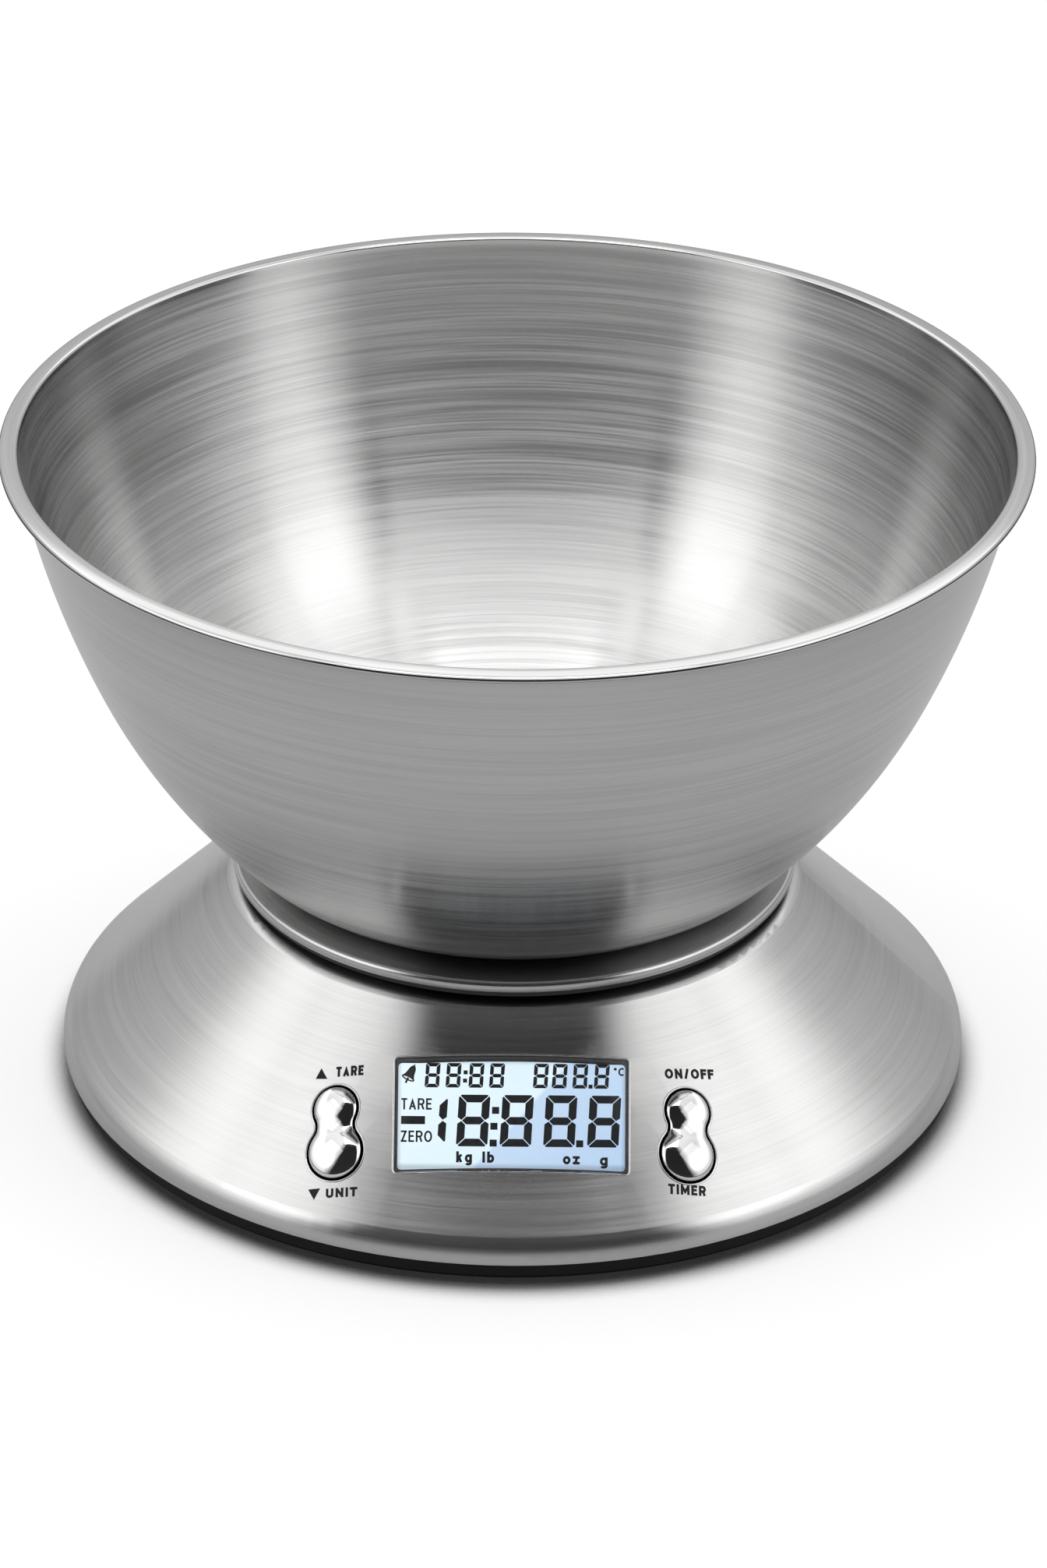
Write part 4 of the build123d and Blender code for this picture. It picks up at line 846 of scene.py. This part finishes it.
marks = []
for left in SMALL_DIGITS:
    marks += bars_of_eight(left, **SMALL_LOOK)
for left in MAIN_DIGITS:
    marks += bars_of_eight(left, **MAIN_LOOK)
one = bars_of_eight(LEADING_ONE, **LEADING_LOOK)
marks += [one[i] for i in RIGHT_BARS]
marks += [square(*dot, SMALL_DOT) for dot in SMALL_DOTS]
marks += [square(*dot, MAIN_DOT) for dot in MAIN_DOTS]
marks.append(MINUS_BAR)
solids = [prism(outline, on_panel, MARK_THICKNESS) for outline in marks]
show("display_digits", *together(solids), "base_body", "lcd_panel", crystal)
print("bars and dots:", len(marks))

# %% [markdown]
# Words on such a product are plain capitals of one even line width. A font would
# bring its own style, so each letter is drawn here by the middle lines of its
# strokes, in a box one unit high. Only plain words and units are used.

# %% Stroke letters
SMALL_HEIGHT = 0.74


def sweep(centre, radii, start, end, steps=16):
    """Points along part of an oval, from one bearing to another in degrees."""
    turns = [radians(start + (end - start) * i / steps) for i in range(steps + 1)]
    return [(centre[0] + radii[0] * cos(turn), centre[1] + radii[1] * sin(turn)) for turn in turns]


def alphabet(pen):
    """Each letter's width and strokes, for a box 1 high and a pen of this width."""
    edge, top = pen / 2, 1 - pen / 2
    small_middle = SMALL_HEIGHT / 2
    stem = [(edge, 0), (edge, 1)]
    foot_bar, head_bar = [(edge, edge), (0.56, edge)], [(edge, top), (0.56, top)]
    centre_bar = [(edge, 0.52), (0.51, 0.52)]
    oval = sweep((0.39, 0.5), (0.39 - edge, 0.5 - edge), 0, 360, 30)
    small_oval = sweep((0.28, small_middle), (0.28 - edge, small_middle - edge), 0, 360, 26)
    r_curve = sweep((0.38, top - 0.22), (0.28 - edge, 0.22), 90, -90)
    r_bowl = [(edge, top), (0.38, top), *r_curve, (edge, top - 0.44)]
    u_curve = sweep((0.34, 0.34), (0.34 - edge, 0.34 - edge), 180, 360)
    g_curve = sweep((0.28, 0.0), (0.28 - edge, 0.26 - edge), 0, -155)
    k_arm = [(edge, 0.24), (0.50 - edge, SMALL_HEIGHT - 0.02)]
    m_valley = [(edge, 1 - pen * 0.6), (0.41, 0.3), (0.82 - edge, 1 - pen * 0.6)]
    n_slope = [(edge * 1.2, 1 - pen * 0.6), (0.70 - edge * 1.2, pen * 0.6)]
    a_sides = [(edge, 0), (0.36, 1 - 2.9 * edge), (0.72 - edge, 0)]
    far_stem = lambda width: [(width - edge, 0), (width - edge, 1)]

    def zed(width, height):
        """Two bars and the slope between them."""
        bars = [[(0, y), (width, y)] for y in (height - pen / 2, edge)]
        return width, [*bars, [(pen * 0.8, pen * 0.6), (width - pen * 0.8, height - pen * 0.6)]]

    return {
        "A": (0.72, [a_sides, [(0.15, 0.28), (0.57, 0.28)]]),
        "C": (0.72, [sweep((0.37, 0.5), (0.37 - edge, 0.5 - edge), 48, 312, 26)]),
        "E": (0.56, [stem, foot_bar, centre_bar, head_bar]),
        "F": (0.54, [stem, centre_bar, head_bar]),
        "I": (pen, [stem]),
        "M": (0.82, [stem, far_stem(0.82), m_valley]),
        "N": (0.70, [stem, far_stem(0.70), n_slope]),
        "O": (0.78, [oval]),
        "R": (0.66, [stem, r_bowl, [(0.38, top - 0.42), (0.66 - edge, 0.02)]]),
        "T": (0.60, [[(0, top), (0.60, top)], [(0.30, 0), (0.30, top)]]),
        "U": (0.68, [[(edge, 1), *u_curve, (0.68 - edge, 1)]]),
        "Z": zed(0.60, 1),
        "/": (0.50, [[(edge, 0), (0.50 - edge, 1)]]),
        "b": (0.56, [stem, small_oval]),
        "g": (0.56, [small_oval, [(0.56 - edge, SMALL_HEIGHT), *g_curve]]),
        "k": (0.50, [stem, k_arm, [(0.22, 0.42), (0.50 - edge, 0.03)]]),
        "l": (pen, [stem]),
        "o": (0.56, [small_oval]),
        "z": zed(0.46, SMALL_HEIGHT),
        "°": (0.34, [sweep((0.17, 0.83), (0.17 - edge, 0.17 - edge), 0, 360, 18)]),
    }


print("letters drawn:", "".join(alphabet(0.15)))

# %% [markdown]
# Every stroke becomes a thin closed ribbon as wide as the pen. Where two strokes of
# a letter cross, their tops would lie in one plane and flicker, so each is a hair
# higher than the last. A word is stretched to fill the width that it has.

# %% Ribbons from strokes
LETTER_SPACE = 0.15
LOOP_GAP = 1e-4
STROKE_STEP = 0.001


def word_strokes(text, left, base, width, capital, pen):
    """Strokes of a word in millimetres, stretched to fill a width."""
    letters = [alphabet(pen / capital)[sign] for sign in text]
    gap = LETTER_SPACE * capital
    stretch = (width - gap * (len(text) - 1)) / sum(letter_width for letter_width, _ in letters)
    strokes = []
    for letter_width, lines in letters:
        strokes += [[(left + x * stretch, base + y * capital) for x, y in line] for line in lines]
        left += letter_width * stretch + gap
    return strokes


def ribbon(line, pen, place, thickness):
    """Thin closed solid along a line; a line that ends where it starts is a loop."""
    loop = (Vector(line[0]) - Vector(line[-1])).length < LOOP_GAP
    middle = [Vector(point) for point in (line[:-1] if loop else line)]
    count = len(middle)
    corners = ((1, 0), (-1, 0), (-1, thickness), (1, thickness))
    points = []
    for i, point in enumerate(middle):
        before = middle[i - 1] if loop or i > 0 else 2 * point - middle[i + 1]
        after = middle[(i + 1) % count] if loop or i < count - 1 else 2 * point - before
        first, second = (point - before).normalized(), (after - point).normalized()
        side = Vector((-first.y - second.y, first.x + second.x)) * pen / 2 / (1 + first.dot(second))
        points += [place(*(point + share * side), height) for share, height in corners]
    faces = quads(4, count, loop)
    if not loop:
        faces += [(0, 1, 2, 3), tuple(4 * count - 4 + k for k in (3, 2, 1, 0))]
    return points, faces


def inked(strokes, pen, place, thickness):
    """Ribbons for strokes, each a hair higher than the last, so that none coincide."""
    heights = [thickness + i * STROKE_STEP for i in range(len(strokes))]
    return [ribbon(line, pen, place, height) for line, height in zip(strokes, heights)]


print("strokes of a T:", len(word_strokes("T", 0, 0, 1, 1, 0.1)))

# %% [markdown]
# Beside the digits the display names its units and what is being shown. Each row
# of the table is a word, its left end and its base on the glass, its width, the
# height of a capital and the pen, all in millimetres.

# %% Words on the display
DISPLAY_WORDS = (
    ("TARE", -21.57, 1.60, 5.95, 2.30, 0.36),
    ("ZERO", -21.57, -4.92, 6.08, 2.30, 0.36),
    ("kg", -10.78, -8.95, 3.20, 2.25, 0.52),
    ("lb", -5.67, -8.95, 2.40, 2.25, 0.52),
    ("oz", 10.00, -9.15, 3.38, 2.25, 0.52),
    ("g", 17.20, -9.35, 1.72, 2.25, 0.52),
    ("°C", 19.90, 8.70, 2.25, 1.66, 0.34),
)
words = []
for *word, pen in DISPLAY_WORDS:
    words += inked(word_strokes(*word, pen), pen, on_panel, MARK_THICKNESS)
show("display_words", *together(words), "base_body", "lcd_panel", crystal)
print("strokes on the display:", len(words))

# %% [markdown]
# The alarm sign is a small bell that leans to the right, seen a little from below.
# Its body is half an outline, mirrored. Under it lies a crescent for the near edge
# of the mouth, with a slit of light between the two and a clapper across it.

# %% Bell on the display
BELL_MOUTH = (-20.30, 7.95)
BELL_LEAN = radians(-26)
MOUTH_HALF = 1.39
MOUTH_STEPS = 6
SLIT_HALF = 1.06
SLIT_RISE = 0.20
MOUTH_DROP = 0.48
BELL_SKIRT = [(MOUTH_HALF, 0.0), (1.12, 0.36), (0.86, 0.92), (0.74, 1.62)]
BELL_CROWN = [(0.62, 2.18), (0.36, 2.62), (0.14, 2.78), (0.12, 3.05)]
CLAPPER = [(-0.20, 0.12), (-0.20, -1.10), (0.20, -1.10), (0.20, 0.12)]

half_bell = BELL_SKIRT + BELL_CROWN
across_mouth = [-1 + i / MOUTH_STEPS for i in range(2 * MOUTH_STEPS + 1)]
slit_top = [(SLIT_HALF * share, SLIT_RISE * (1 - share**2)) for share in across_mouth]
slit_low = [(x, -y) for x, y in slit_top]
mouth_low = [(MOUTH_HALF * share, -MOUTH_DROP * sqrt(1 - share**2)) for share in across_mouth]
bell_body = half_bell + [(-x, y) for x, y in reversed(half_bell)] + slit_top
bell_rim = mouth_low + slit_low[::-1]


def leaned_bell(x, y, height):
    """Point of the bell on the glass, turned by its lean."""
    turned_x = x * cos(BELL_LEAN) - y * sin(BELL_LEAN)
    turned_y = x * sin(BELL_LEAN) + y * cos(BELL_LEAN)
    return on_panel(BELL_MOUTH[0] + turned_x, BELL_MOUTH[1] + turned_y, height)


bell_solids = [
    prism(outline, leaned_bell, MARK_THICKNESS + i * STROKE_STEP)
    for i, outline in enumerate((bell_body, bell_rim, CLAPPER))
]
show("display_bell", *together(bell_solids), "base_body", "lcd_panel", crystal)
print("bell of", len(bell_body), "corners")

# %% [markdown]
# The bowl and the plate under it are spun or pressed round. The solid model has
# both shapes, but its faces are long, and on a thin lip the highlights would break
# into dashes. So each section is drawn again at the same sizes and turned round Z
# in many small steps. It starts and ends on the axis, so the wall has both sides.

# %% Helpers for turned pieces
TURN_STEPS = 288


def bend(start, radius, first, last, steps):
    """Points after the start of an arc that turns from one heading to another."""
    x, y = start
    turns = [first + (last - first) * i / steps for i in range(1, steps + 1)]
    return [
        (x + radius * (sin(turn) - sin(first)), y + radius * (cos(first) - cos(turn)))
        for turn in turns
    ]


def turned(section, floor_height):
    """Points and faces of a half section turned round Z."""
    spin = [2 * pi * i / TURN_STEPS for i in range(TURN_STEPS)]
    points = [
        MM * Vector((radius * cos(turn), radius * sin(turn), floor_height + height))
        for radius, height in section
        for turn in spin
    ]
    return points, quads(TURN_STEPS, len(section))


print("steps in a turn:", TURN_STEPS)

# %% [markdown]
# The bowl is spun from thin sheet. Its wall is three arcs, each a little straighter
# than the one below, and their headings and radii give the whole curve. The last
# arc ends at the mouth, so its end and the flat bottom's size are worked out.

# %% Wall of the bowl
BOWL_RIM_RADIUS = 101.96
BOWL_DEPTH = 90.6
BOWL_WALL = 0.7
LIP_WIDTH = 3.8
LIP_THICKNESS = 1.3
WALL_HEADINGS = (0.0, 44.3, 65.8)
BEND_RADII = (23.6, 124.8, 203.0)
BEND_STEPS = (14, 18, 22)

mouth_height = BOWL_DEPTH - LIP_THICKNESS / 2
mouth_radius = BOWL_RIM_RADIUS - LIP_WIDTH + BOWL_WALL
headings = [radians(turn) for turn in WALL_HEADINGS]
arcs = zip(BEND_RADII, headings, headings[1:])
heights = [radius * (cos(first) - cos(last)) for radius, first, last in arcs]
headings.append(acos(cos(headings[2]) - (mouth_height - sum(heights)) / BEND_RADII[2]))
arcs = zip(BEND_RADII, headings, headings[1:])
runs = [radius * (sin(last) - sin(first)) for radius, first, last in arcs]
flat_radius = mouth_radius - sum(runs)


def bowl_wall(inset):
    """Half section from the middle of the bottom to the mouth, moved in from outside."""
    line = [(0.0, inset), (flat_radius * 0.5, inset), (flat_radius, inset)]
    for radius, first, last, steps in zip(BEND_RADII, headings, headings[1:], BEND_STEPS):
        line += bend(line[-1], radius - inset, first, last, steps)
    return line


print("flat bottom to", round(flat_radius, 2), "mm, mouth at", round(mouth_height, 2), "mm")

# %% [markdown]
# A flat folded lip stiffens the bowl's mouth. Its section goes from a small fillet
# under it round the outer edge and back in over the top. The lip falls a little to
# the outside, so its near side shows a brighter part of the tent. The outer wall,
# the lip and the inner wall are then turned as one closed piece.

# %% Turned bowl
LIP_FILLET = 0.5
LIP_FALL = 0.09
LIP_PLAY = 0.01
FILLET_STEPS, OUTER_STEPS, INNER_STEPS = 6, 16, 8

half_lip = LIP_THICKNESS / 2
under_lip = mouth_height - half_lip
outer_wall = [point for point in bowl_wall(0) if point[1] < under_lip - LIP_FILLET]
inner_wall = [point for point in bowl_wall(BOWL_WALL) if point[1] < mouth_height - half_lip / 4]
wall_radius = outer_wall[-1][0] + LIP_FILLET * cos(headings[3]) / sin(headings[3]) / 2
lip = bend((wall_radius, under_lip - LIP_FILLET), -LIP_FILLET, pi / 2, 0.0, FILLET_STEPS)
lip_end = (BOWL_RIM_RADIUS - half_lip - LIP_PLAY, under_lip)
lip += bend(lip_end, half_lip, 0.0, pi, OUTER_STEPS)
lip_start = BOWL_RIM_RADIUS - LIP_WIDTH + half_lip
lip.append((lip_start, mouth_height + half_lip))
lip += bend(lip[-1], half_lip, pi, 1.5 * pi, INNER_STEPS)
lip = [(radius, height - LIP_FALL * max(0.0, radius - lip_start)) for radius, height in lip]
bowl_section = outer_wall + lip + inner_wall[::-1]
bowl_mesh = turned(bowl_section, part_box("bowl")[0].z / MM)
bowl_steel = bpy.data.materials["bowl_steel"]
bowl_shell = show("bowl_shell", *bowl_mesh, "bowl_body", "bowl_steel", bowl_steel, True)
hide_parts("bowl")
print("bowl section:", len(bowl_section), "points")

# %% [markdown]
# The bowl's bottom faces the dark gap over the camera, so it would look black. A
# wide strip lamp leans over the front and lights it. The base must not show this
# lamp, and a photographer would hide it with a black card. Blender can link a lamp
# to chosen pieces instead, so this one is linked to the bowl alone.

# %% Strip lamp for the bowl
strip_lamp = soft_box("strip_lamp", turn=0, rise=50, distance=1.3, size=(1.7, 0.72), power=4.5)
bowl_only = bpy.data.collections.new("bowl_only")
bowl_only.objects.link(bowl_shell)
strip_lamp.light_linking.receiver_collection = bowl_only

# %% [markdown]
# A shallow cap, pressed from thin sheet, carries the bowl and passes the weight on
# to the load cell. What shows of it is a narrow ring with a round upper edge. Its
# section goes out along the inside, round the bottom of its skirt and back over
# the top, and it is turned as the bowl is.

# %% Turned platform
PLATFORM_RADIUS = 57.2
PLATFORM_HEIGHT = 2.0
PLATFORM_EDGE = 0.9
PLATE_THICKNESS = 0.6
INNER_EDGE = 0.3
SKIRT_BEVEL = 0.02
INNER_EDGE_STEPS, OUTER_EDGE_STEPS = 4, 10

inner_radius = PLATFORM_RADIUS - PLATE_THICKNESS
inner_height = PLATFORM_HEIGHT - PLATE_THICKNESS
plate_section = [(0.0, inner_height), (inner_radius - INNER_EDGE, inner_height)]
plate_section += bend(plate_section[-1], -INNER_EDGE, 0.0, -pi / 2, INNER_EDGE_STEPS)
plate_section += [(inner_radius, SKIRT_BEVEL), (inner_radius + SKIRT_BEVEL, 0.0)]
plate_section += [(PLATFORM_RADIUS - SKIRT_BEVEL, 0.0), (PLATFORM_RADIUS, SKIRT_BEVEL)]
plate_section += [(PLATFORM_RADIUS, PLATFORM_HEIGHT - PLATFORM_EDGE)]
plate_section += bend(plate_section[-1], PLATFORM_EDGE, pi / 2, pi, OUTER_EDGE_STEPS)
plate_section += [(PLATFORM_RADIUS - 2 * PLATFORM_EDGE, PLATFORM_HEIGHT), (0.0, PLATFORM_HEIGHT)]
plate_mesh = turned(plate_section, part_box("platform_plate")[0].z / MM)
cap_steel = bpy.data.materials["platform_steel"]
platform_cap = show(
    "platform_cap", *plate_mesh, "platform_body", "platform_steel", cap_steel, True
)
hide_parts("platform_plate")
print("platform section:", len(plate_section), "points")

# %% [markdown]
# The words beside the keys are pad-printed: a film of black ink on the steel. Each
# is laid flat between two measured points of the cone, and then every point is
# moved to the nearest place on the cone, so that the print follows the curve.

# %% Helpers for print on the cone
CONE_TOP_RADIUS = 57.5
CONE_TOP_HEIGHT = 43.5
CONE_SLOPE = radians(44.835)
INK_THICKNESS = 0.03
INK_PEN = 0.50


def on_cone(point, height):
    """Nearest place on the cone, raised by a height; all in millimetres."""
    radius = hypot(point.x, point.y)
    outwards, downwards = radius - CONE_TOP_RADIUS, CONE_TOP_HEIGHT - point.z
    down = outwards * cos(CONE_SLOPE) + downwards * sin(CONE_SLOPE)
    out = CONE_TOP_RADIUS + down * cos(CONE_SLOPE) + height * sin(CONE_SLOPE)
    up = CONE_TOP_HEIGHT - down * sin(CONE_SLOPE) + height * cos(CONE_SLOPE)
    return MM * Vector((point.x * out / radius, point.y * out / radius, up))


def cone_place(start, end, top):
    """Map from flat millimetres to the cone, with the width and the top it has there."""
    start, along, rise = Vector(start), Vector(end) - Vector(start), Vector(top) - Vector(start)
    across, height = along.normalized(), (rise - rise.project(along)).length
    reach = rise.dot(across)
    upward = (rise - reach * across).normalized()
    place = lambda x, y, raised: on_cone(start + x * across + y * upward, raised)
    return place, along.length, (reach, height)


def label(text, *points):
    """Letters from a start to an end on the cone, as high as a third point."""
    place, width, (_, capital) = cone_place(*points)
    strokes = word_strokes(text, 0, 0, width, capital, INK_PEN)
    return inked(strokes, INK_PEN, place, INK_THICKNESS)


def arrow(*points):
    """Solid triangle on the cone from its flat side to its tip."""
    place, width, tip = cone_place(*points)
    return prism([(0, 0), (width, 0), tip], place, INK_THICKNESS)


print("cone slopes", round(degrees(CONE_SLOPE), 1), "degrees")

# %% [markdown]
# Each key has a plain word over and under it for what its two ends do, and the
# left key has small arrows too. The table gives a label's start, its end and the
# top of its letters, as points on the cone in millimetres.

# %% Printed labels
LABELS = {
    "TARE": ((-34.51, -62.35, 29.81), (-29.10, -63.65, 31.08), (-31.78, -61.49, 31.85)),
    "UNIT": ((-36.16, -80.36, 13.05), (-29.94, -81.52, 14.33), (-33.11, -79.57, 14.98)),
    "ON/OFF": ((30.04, -63.55, 30.78), (39.75, -60.36, 28.81), (34.91, -60.49, 31.23)),
    "TIMER": ((30.71, -80.62, 14.90), (38.12, -79.05, 13.41), (34.41, -78.36, 15.58)),
}
ARROWS = {
    "TARE": ((-38.52, -61.26, 28.72), (-36.23, -62.08, 29.20), (-37.44, -60.01, 30.34)),
    "UNIT": ((-39.58, -78.12, 13.60), (-37.25, -78.59, 14.20), (-38.43, -80.03, 12.40)),
}
INK_TONES = (0.006, 0.016)

ink = mottled("printed_ink", 0.6 * MM, INK_TONES, (0.5, 0.65), specular_ior_level=0.3)
for text, points in LABELS.items():
    solids = label(text, *points)
    if text in ARROWS:
        solids.append(arrow(*ARROWS[text]))
    name = text.lower().replace("/", "_") + "_label"
    show(name, *together(solids), "base_body", "black_plastic", ink)
print("labels:", list(LABELS))

# %% [markdown]
# The keys are chrome-plated rockers, shaped like a pebble with a waist. The outline
# is two lobes with a hollow arc on each side that touches both. Where the arcs meet
# follows from their radii, and one side is drawn and mirrored.

# %% Outline of a key
KEY_UPPER_RADIUS = 4.4
KEY_LOWER_RADIUS = 5.4
KEY_LOBE_SPACING = 8.75
KEY_WAIST_RADIUS = 3.55
ARC_STEPS = 22

upper_side = KEY_WAIST_RADIUS + KEY_UPPER_RADIUS
lower_side = KEY_WAIST_RADIUS + KEY_LOWER_RADIUS
LOBE_UP = (upper_side**2 - lower_side**2 + KEY_LOBE_SPACING**2) / (2 * KEY_LOBE_SPACING)
LOBE_DOWN = KEY_LOBE_SPACING - LOBE_UP
WAIST_CENTRE = sqrt(upper_side**2 - LOBE_UP**2)
UPPER_TURN = atan2(LOBE_UP, WAIST_CENTRE)
LOWER_TURN = atan2(LOBE_DOWN, WAIST_CENTRE)


def arc(centre, radius, start, end):
    """Points along an arc, without its last one."""
    turns = [start + (end - start) * i / ARC_STEPS for i in range(ARC_STEPS)]
    return [(centre[0] + radius * cos(turn), centre[1] + radius * sin(turn)) for turn in turns]


right_side = arc((0, -LOBE_DOWN), KEY_LOWER_RADIUS, -pi / 2, LOWER_TURN)
right_side += arc((WAIST_CENTRE, 0), KEY_WAIST_RADIUS, pi + LOWER_TURN, pi - UPPER_TURN)
right_side += arc((0, LOBE_UP), KEY_UPPER_RADIUS, -UPPER_TURN, pi / 2)
left_side = [(-x, y) for x, y in reversed(right_side[1:])]
key_outline = right_side + [(0, LOBE_UP + KEY_UPPER_RADIUS)] + left_side
waist = 2 * (WAIST_CENTRE - KEY_WAIST_RADIUS)
print("key outline:", len(key_outline), "points, waist", round(waist, 2), "mm")

# %% [markdown]
# The solid model has the keys' outline and travel with a flat top. Here each gets
# its crown: rings shrink from the outline to a line down the middle and rise on a
# quarter ellipse. A wider place rises higher, so each lobe swells and the waist is
# a saddle. The joint's own axis says where each key lies and how it leans.

# %% Chrome keys
KEY_PIVOT_DEPTH = 3.8
KEY_SKIRT = 3.0
KEY_CROWN = 1.60
CROWN_SWELL = 1.15
CROWN_RINGS = 14


def key_crown(place):
    """Closed crown over the key's outline, with a skirt down into the cover."""
    count = len(key_outline)
    points = [place(x, y, -KEY_SKIRT) for x, y in key_outline]
    for ring in range(CROWN_RINGS + 1):
        share = cos(ring * pi / 2 / CROWN_RINGS)
        for x, y in key_outline:
            spine = min(max(y, -LOBE_DOWN), LOBE_UP)
            half_width = hypot(x, y - spine)
            height = KEY_CROWN * (half_width / KEY_LOWER_RADIUS) ** CROWN_SWELL
            rise = height * sqrt(max(0.0, 1 - share**2))
            points.append(place(x * share, spine + (y - spine) * share, rise))
    return points, [tuple(reversed(range(count)))] + quads(count, CROWN_RINGS + 2)


def placed(middle, across, upward, out):
    """Maps millimetres across, up and out of a key to its place on the cover."""
    return lambda x, y, height: middle + MM * (x * across + y * upward + height * out)


chrome = bpy.data.materials["key_chrome"]
key_places = {}
for joint in frame["joints"]:
    if joint["name"] not in ("left_key_rock", "right_key_rock"):
        continue
    across = Vector(joint["axis"]).normalized()
    upward = Vector((0, -across.z, across.y)).normalized()
    upward *= 1 if upward.z > 0 else -1
    out = across.cross(upward)
    middle = Vector(joint["pos_m"]) + KEY_PIVOT_DEPTH * MM * out
    key = joint["name"].removesuffix("_rock")
    key_place = placed(middle, across, upward, out)
    key_places[key] = (key_place, out)
    cap = show(key + "_cap", *key_crown(key_place), key + "_body", "key_chrome", chrome, True)
    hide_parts(key)
    print(cap.name, "at", [round(v, 4) for v in middle])

# %% [markdown]
# Where the cover is pierced, the press turns the edge of the steel inwards. This
# thin round edge catches the light as a fine bright line round the window and the
# keys. It is a small closed section, swept along each opening's outline: every
# point starts in the opening's own plane and slides onto the cone.

# %% Helpers for the bright edges
EDGE_OUTSIDE = ((0.40, -0.03), (0.32, 0.04), (0.20, 0.08), (0.08, 0.06))
EDGE_INSIDE = ((0.0, -0.02), (-0.03, -0.15), (-0.03, -0.5), (0.15, -0.5))
EDGE_SECTION = EDGE_OUTSIDE + EDGE_INSIDE
SLIDE_ROUNDS = 4


def slid_to_cone(point, heading, height):
    """Point moved along a heading onto the cone, then raised; all in millimetres."""
    for _ in range(SLIDE_ROUNDS):
        radius = hypot(point.x, point.y)
        outwards = sin(CONE_SLOPE) / radius
        normal = Vector((point.x * outwards, point.y * outwards, cos(CONE_SLOPE)))
        out, up = radius - CONE_TOP_RADIUS, point.z - CONE_TOP_HEIGHT
        above = out * sin(CONE_SLOPE) + up * cos(CONE_SLOPE)
        point = point - heading * above / heading.dot(normal)
    return MM * (point + height * normal)


def bright_edge(outline, place, heading):
    """Thin rounded edge swept along the outline of an opening."""
    points = []
    for outset, height in EDGE_SECTION:
        ring = [place(x, y, 0) / MM for x, y in shrunk(outline, -outset)]
        points += [slid_to_cone(point, heading, height) for point in ring]
    return points, quads(len(outline), len(EDGE_SECTION), True)


burnished = mottled("rolled_steel", 0.8 * MM, (0.60, 0.70), (0.16, 0.24), metallic=1.0)
print("edge section:", len(EDGE_SECTION), "points")

# %% [markdown]
# The window's outline is a rectangle with small round corners. Its long sides need
# points in between, because they bend with the cone. The key openings follow the
# keys' own outline, with an even gap for the rocking.

# %% Bright edges round the openings
WINDOW_SIZE = (45.8, 23.25)
WINDOW_CORNER = 0.8
CORNER_STEPS = 6
SIDE_STEPS = 24
KEY_GAP = 0.5

half_width, half_height = (size / 2 - WINDOW_CORNER for size in WINDOW_SIZE)
top_end = (-half_width, half_height + WINDOW_CORNER)
left_end = (-half_width - WINDOW_CORNER, -half_height)
window_outline = []
for quarter, (x_side, y_side) in enumerate(((1, 1), (-1, 1), (-1, -1), (1, -1))):
    corner = (x_side * half_width, y_side * half_height)
    radii, turn = (WINDOW_CORNER, WINDOW_CORNER), 90 * quarter
    window_outline += sweep(corner, radii, turn, turn + 90, CORNER_STEPS)
    start = Vector(window_outline[-1])
    end = Vector((top_end, left_end)[quarter % 2]) * (1 if quarter < 2 else -1)
    window_outline += [tuple(start.lerp(end, i / SIDE_STEPS)) for i in range(1, SIDE_STEPS)]

window_mesh = bright_edge(window_outline, on_panel, panel_out)
show("window_edge", *window_mesh, "base_body", "cover_steel", burnished, True)
opening = shrunk(key_outline, -KEY_GAP)
for name, (key_place, out) in key_places.items():
    edge_mesh = bright_edge(opening, key_place, out)
    show(name + "_edge", *edge_mesh, "base_body", "cover_steel", burnished, True)
print("window outline:", len(window_outline), "points")

# %% [markdown]
# Last, colours are shown as they are written, with Blender's Standard view.


bpy.context.scene.view_settings.view_transform = "Standard"
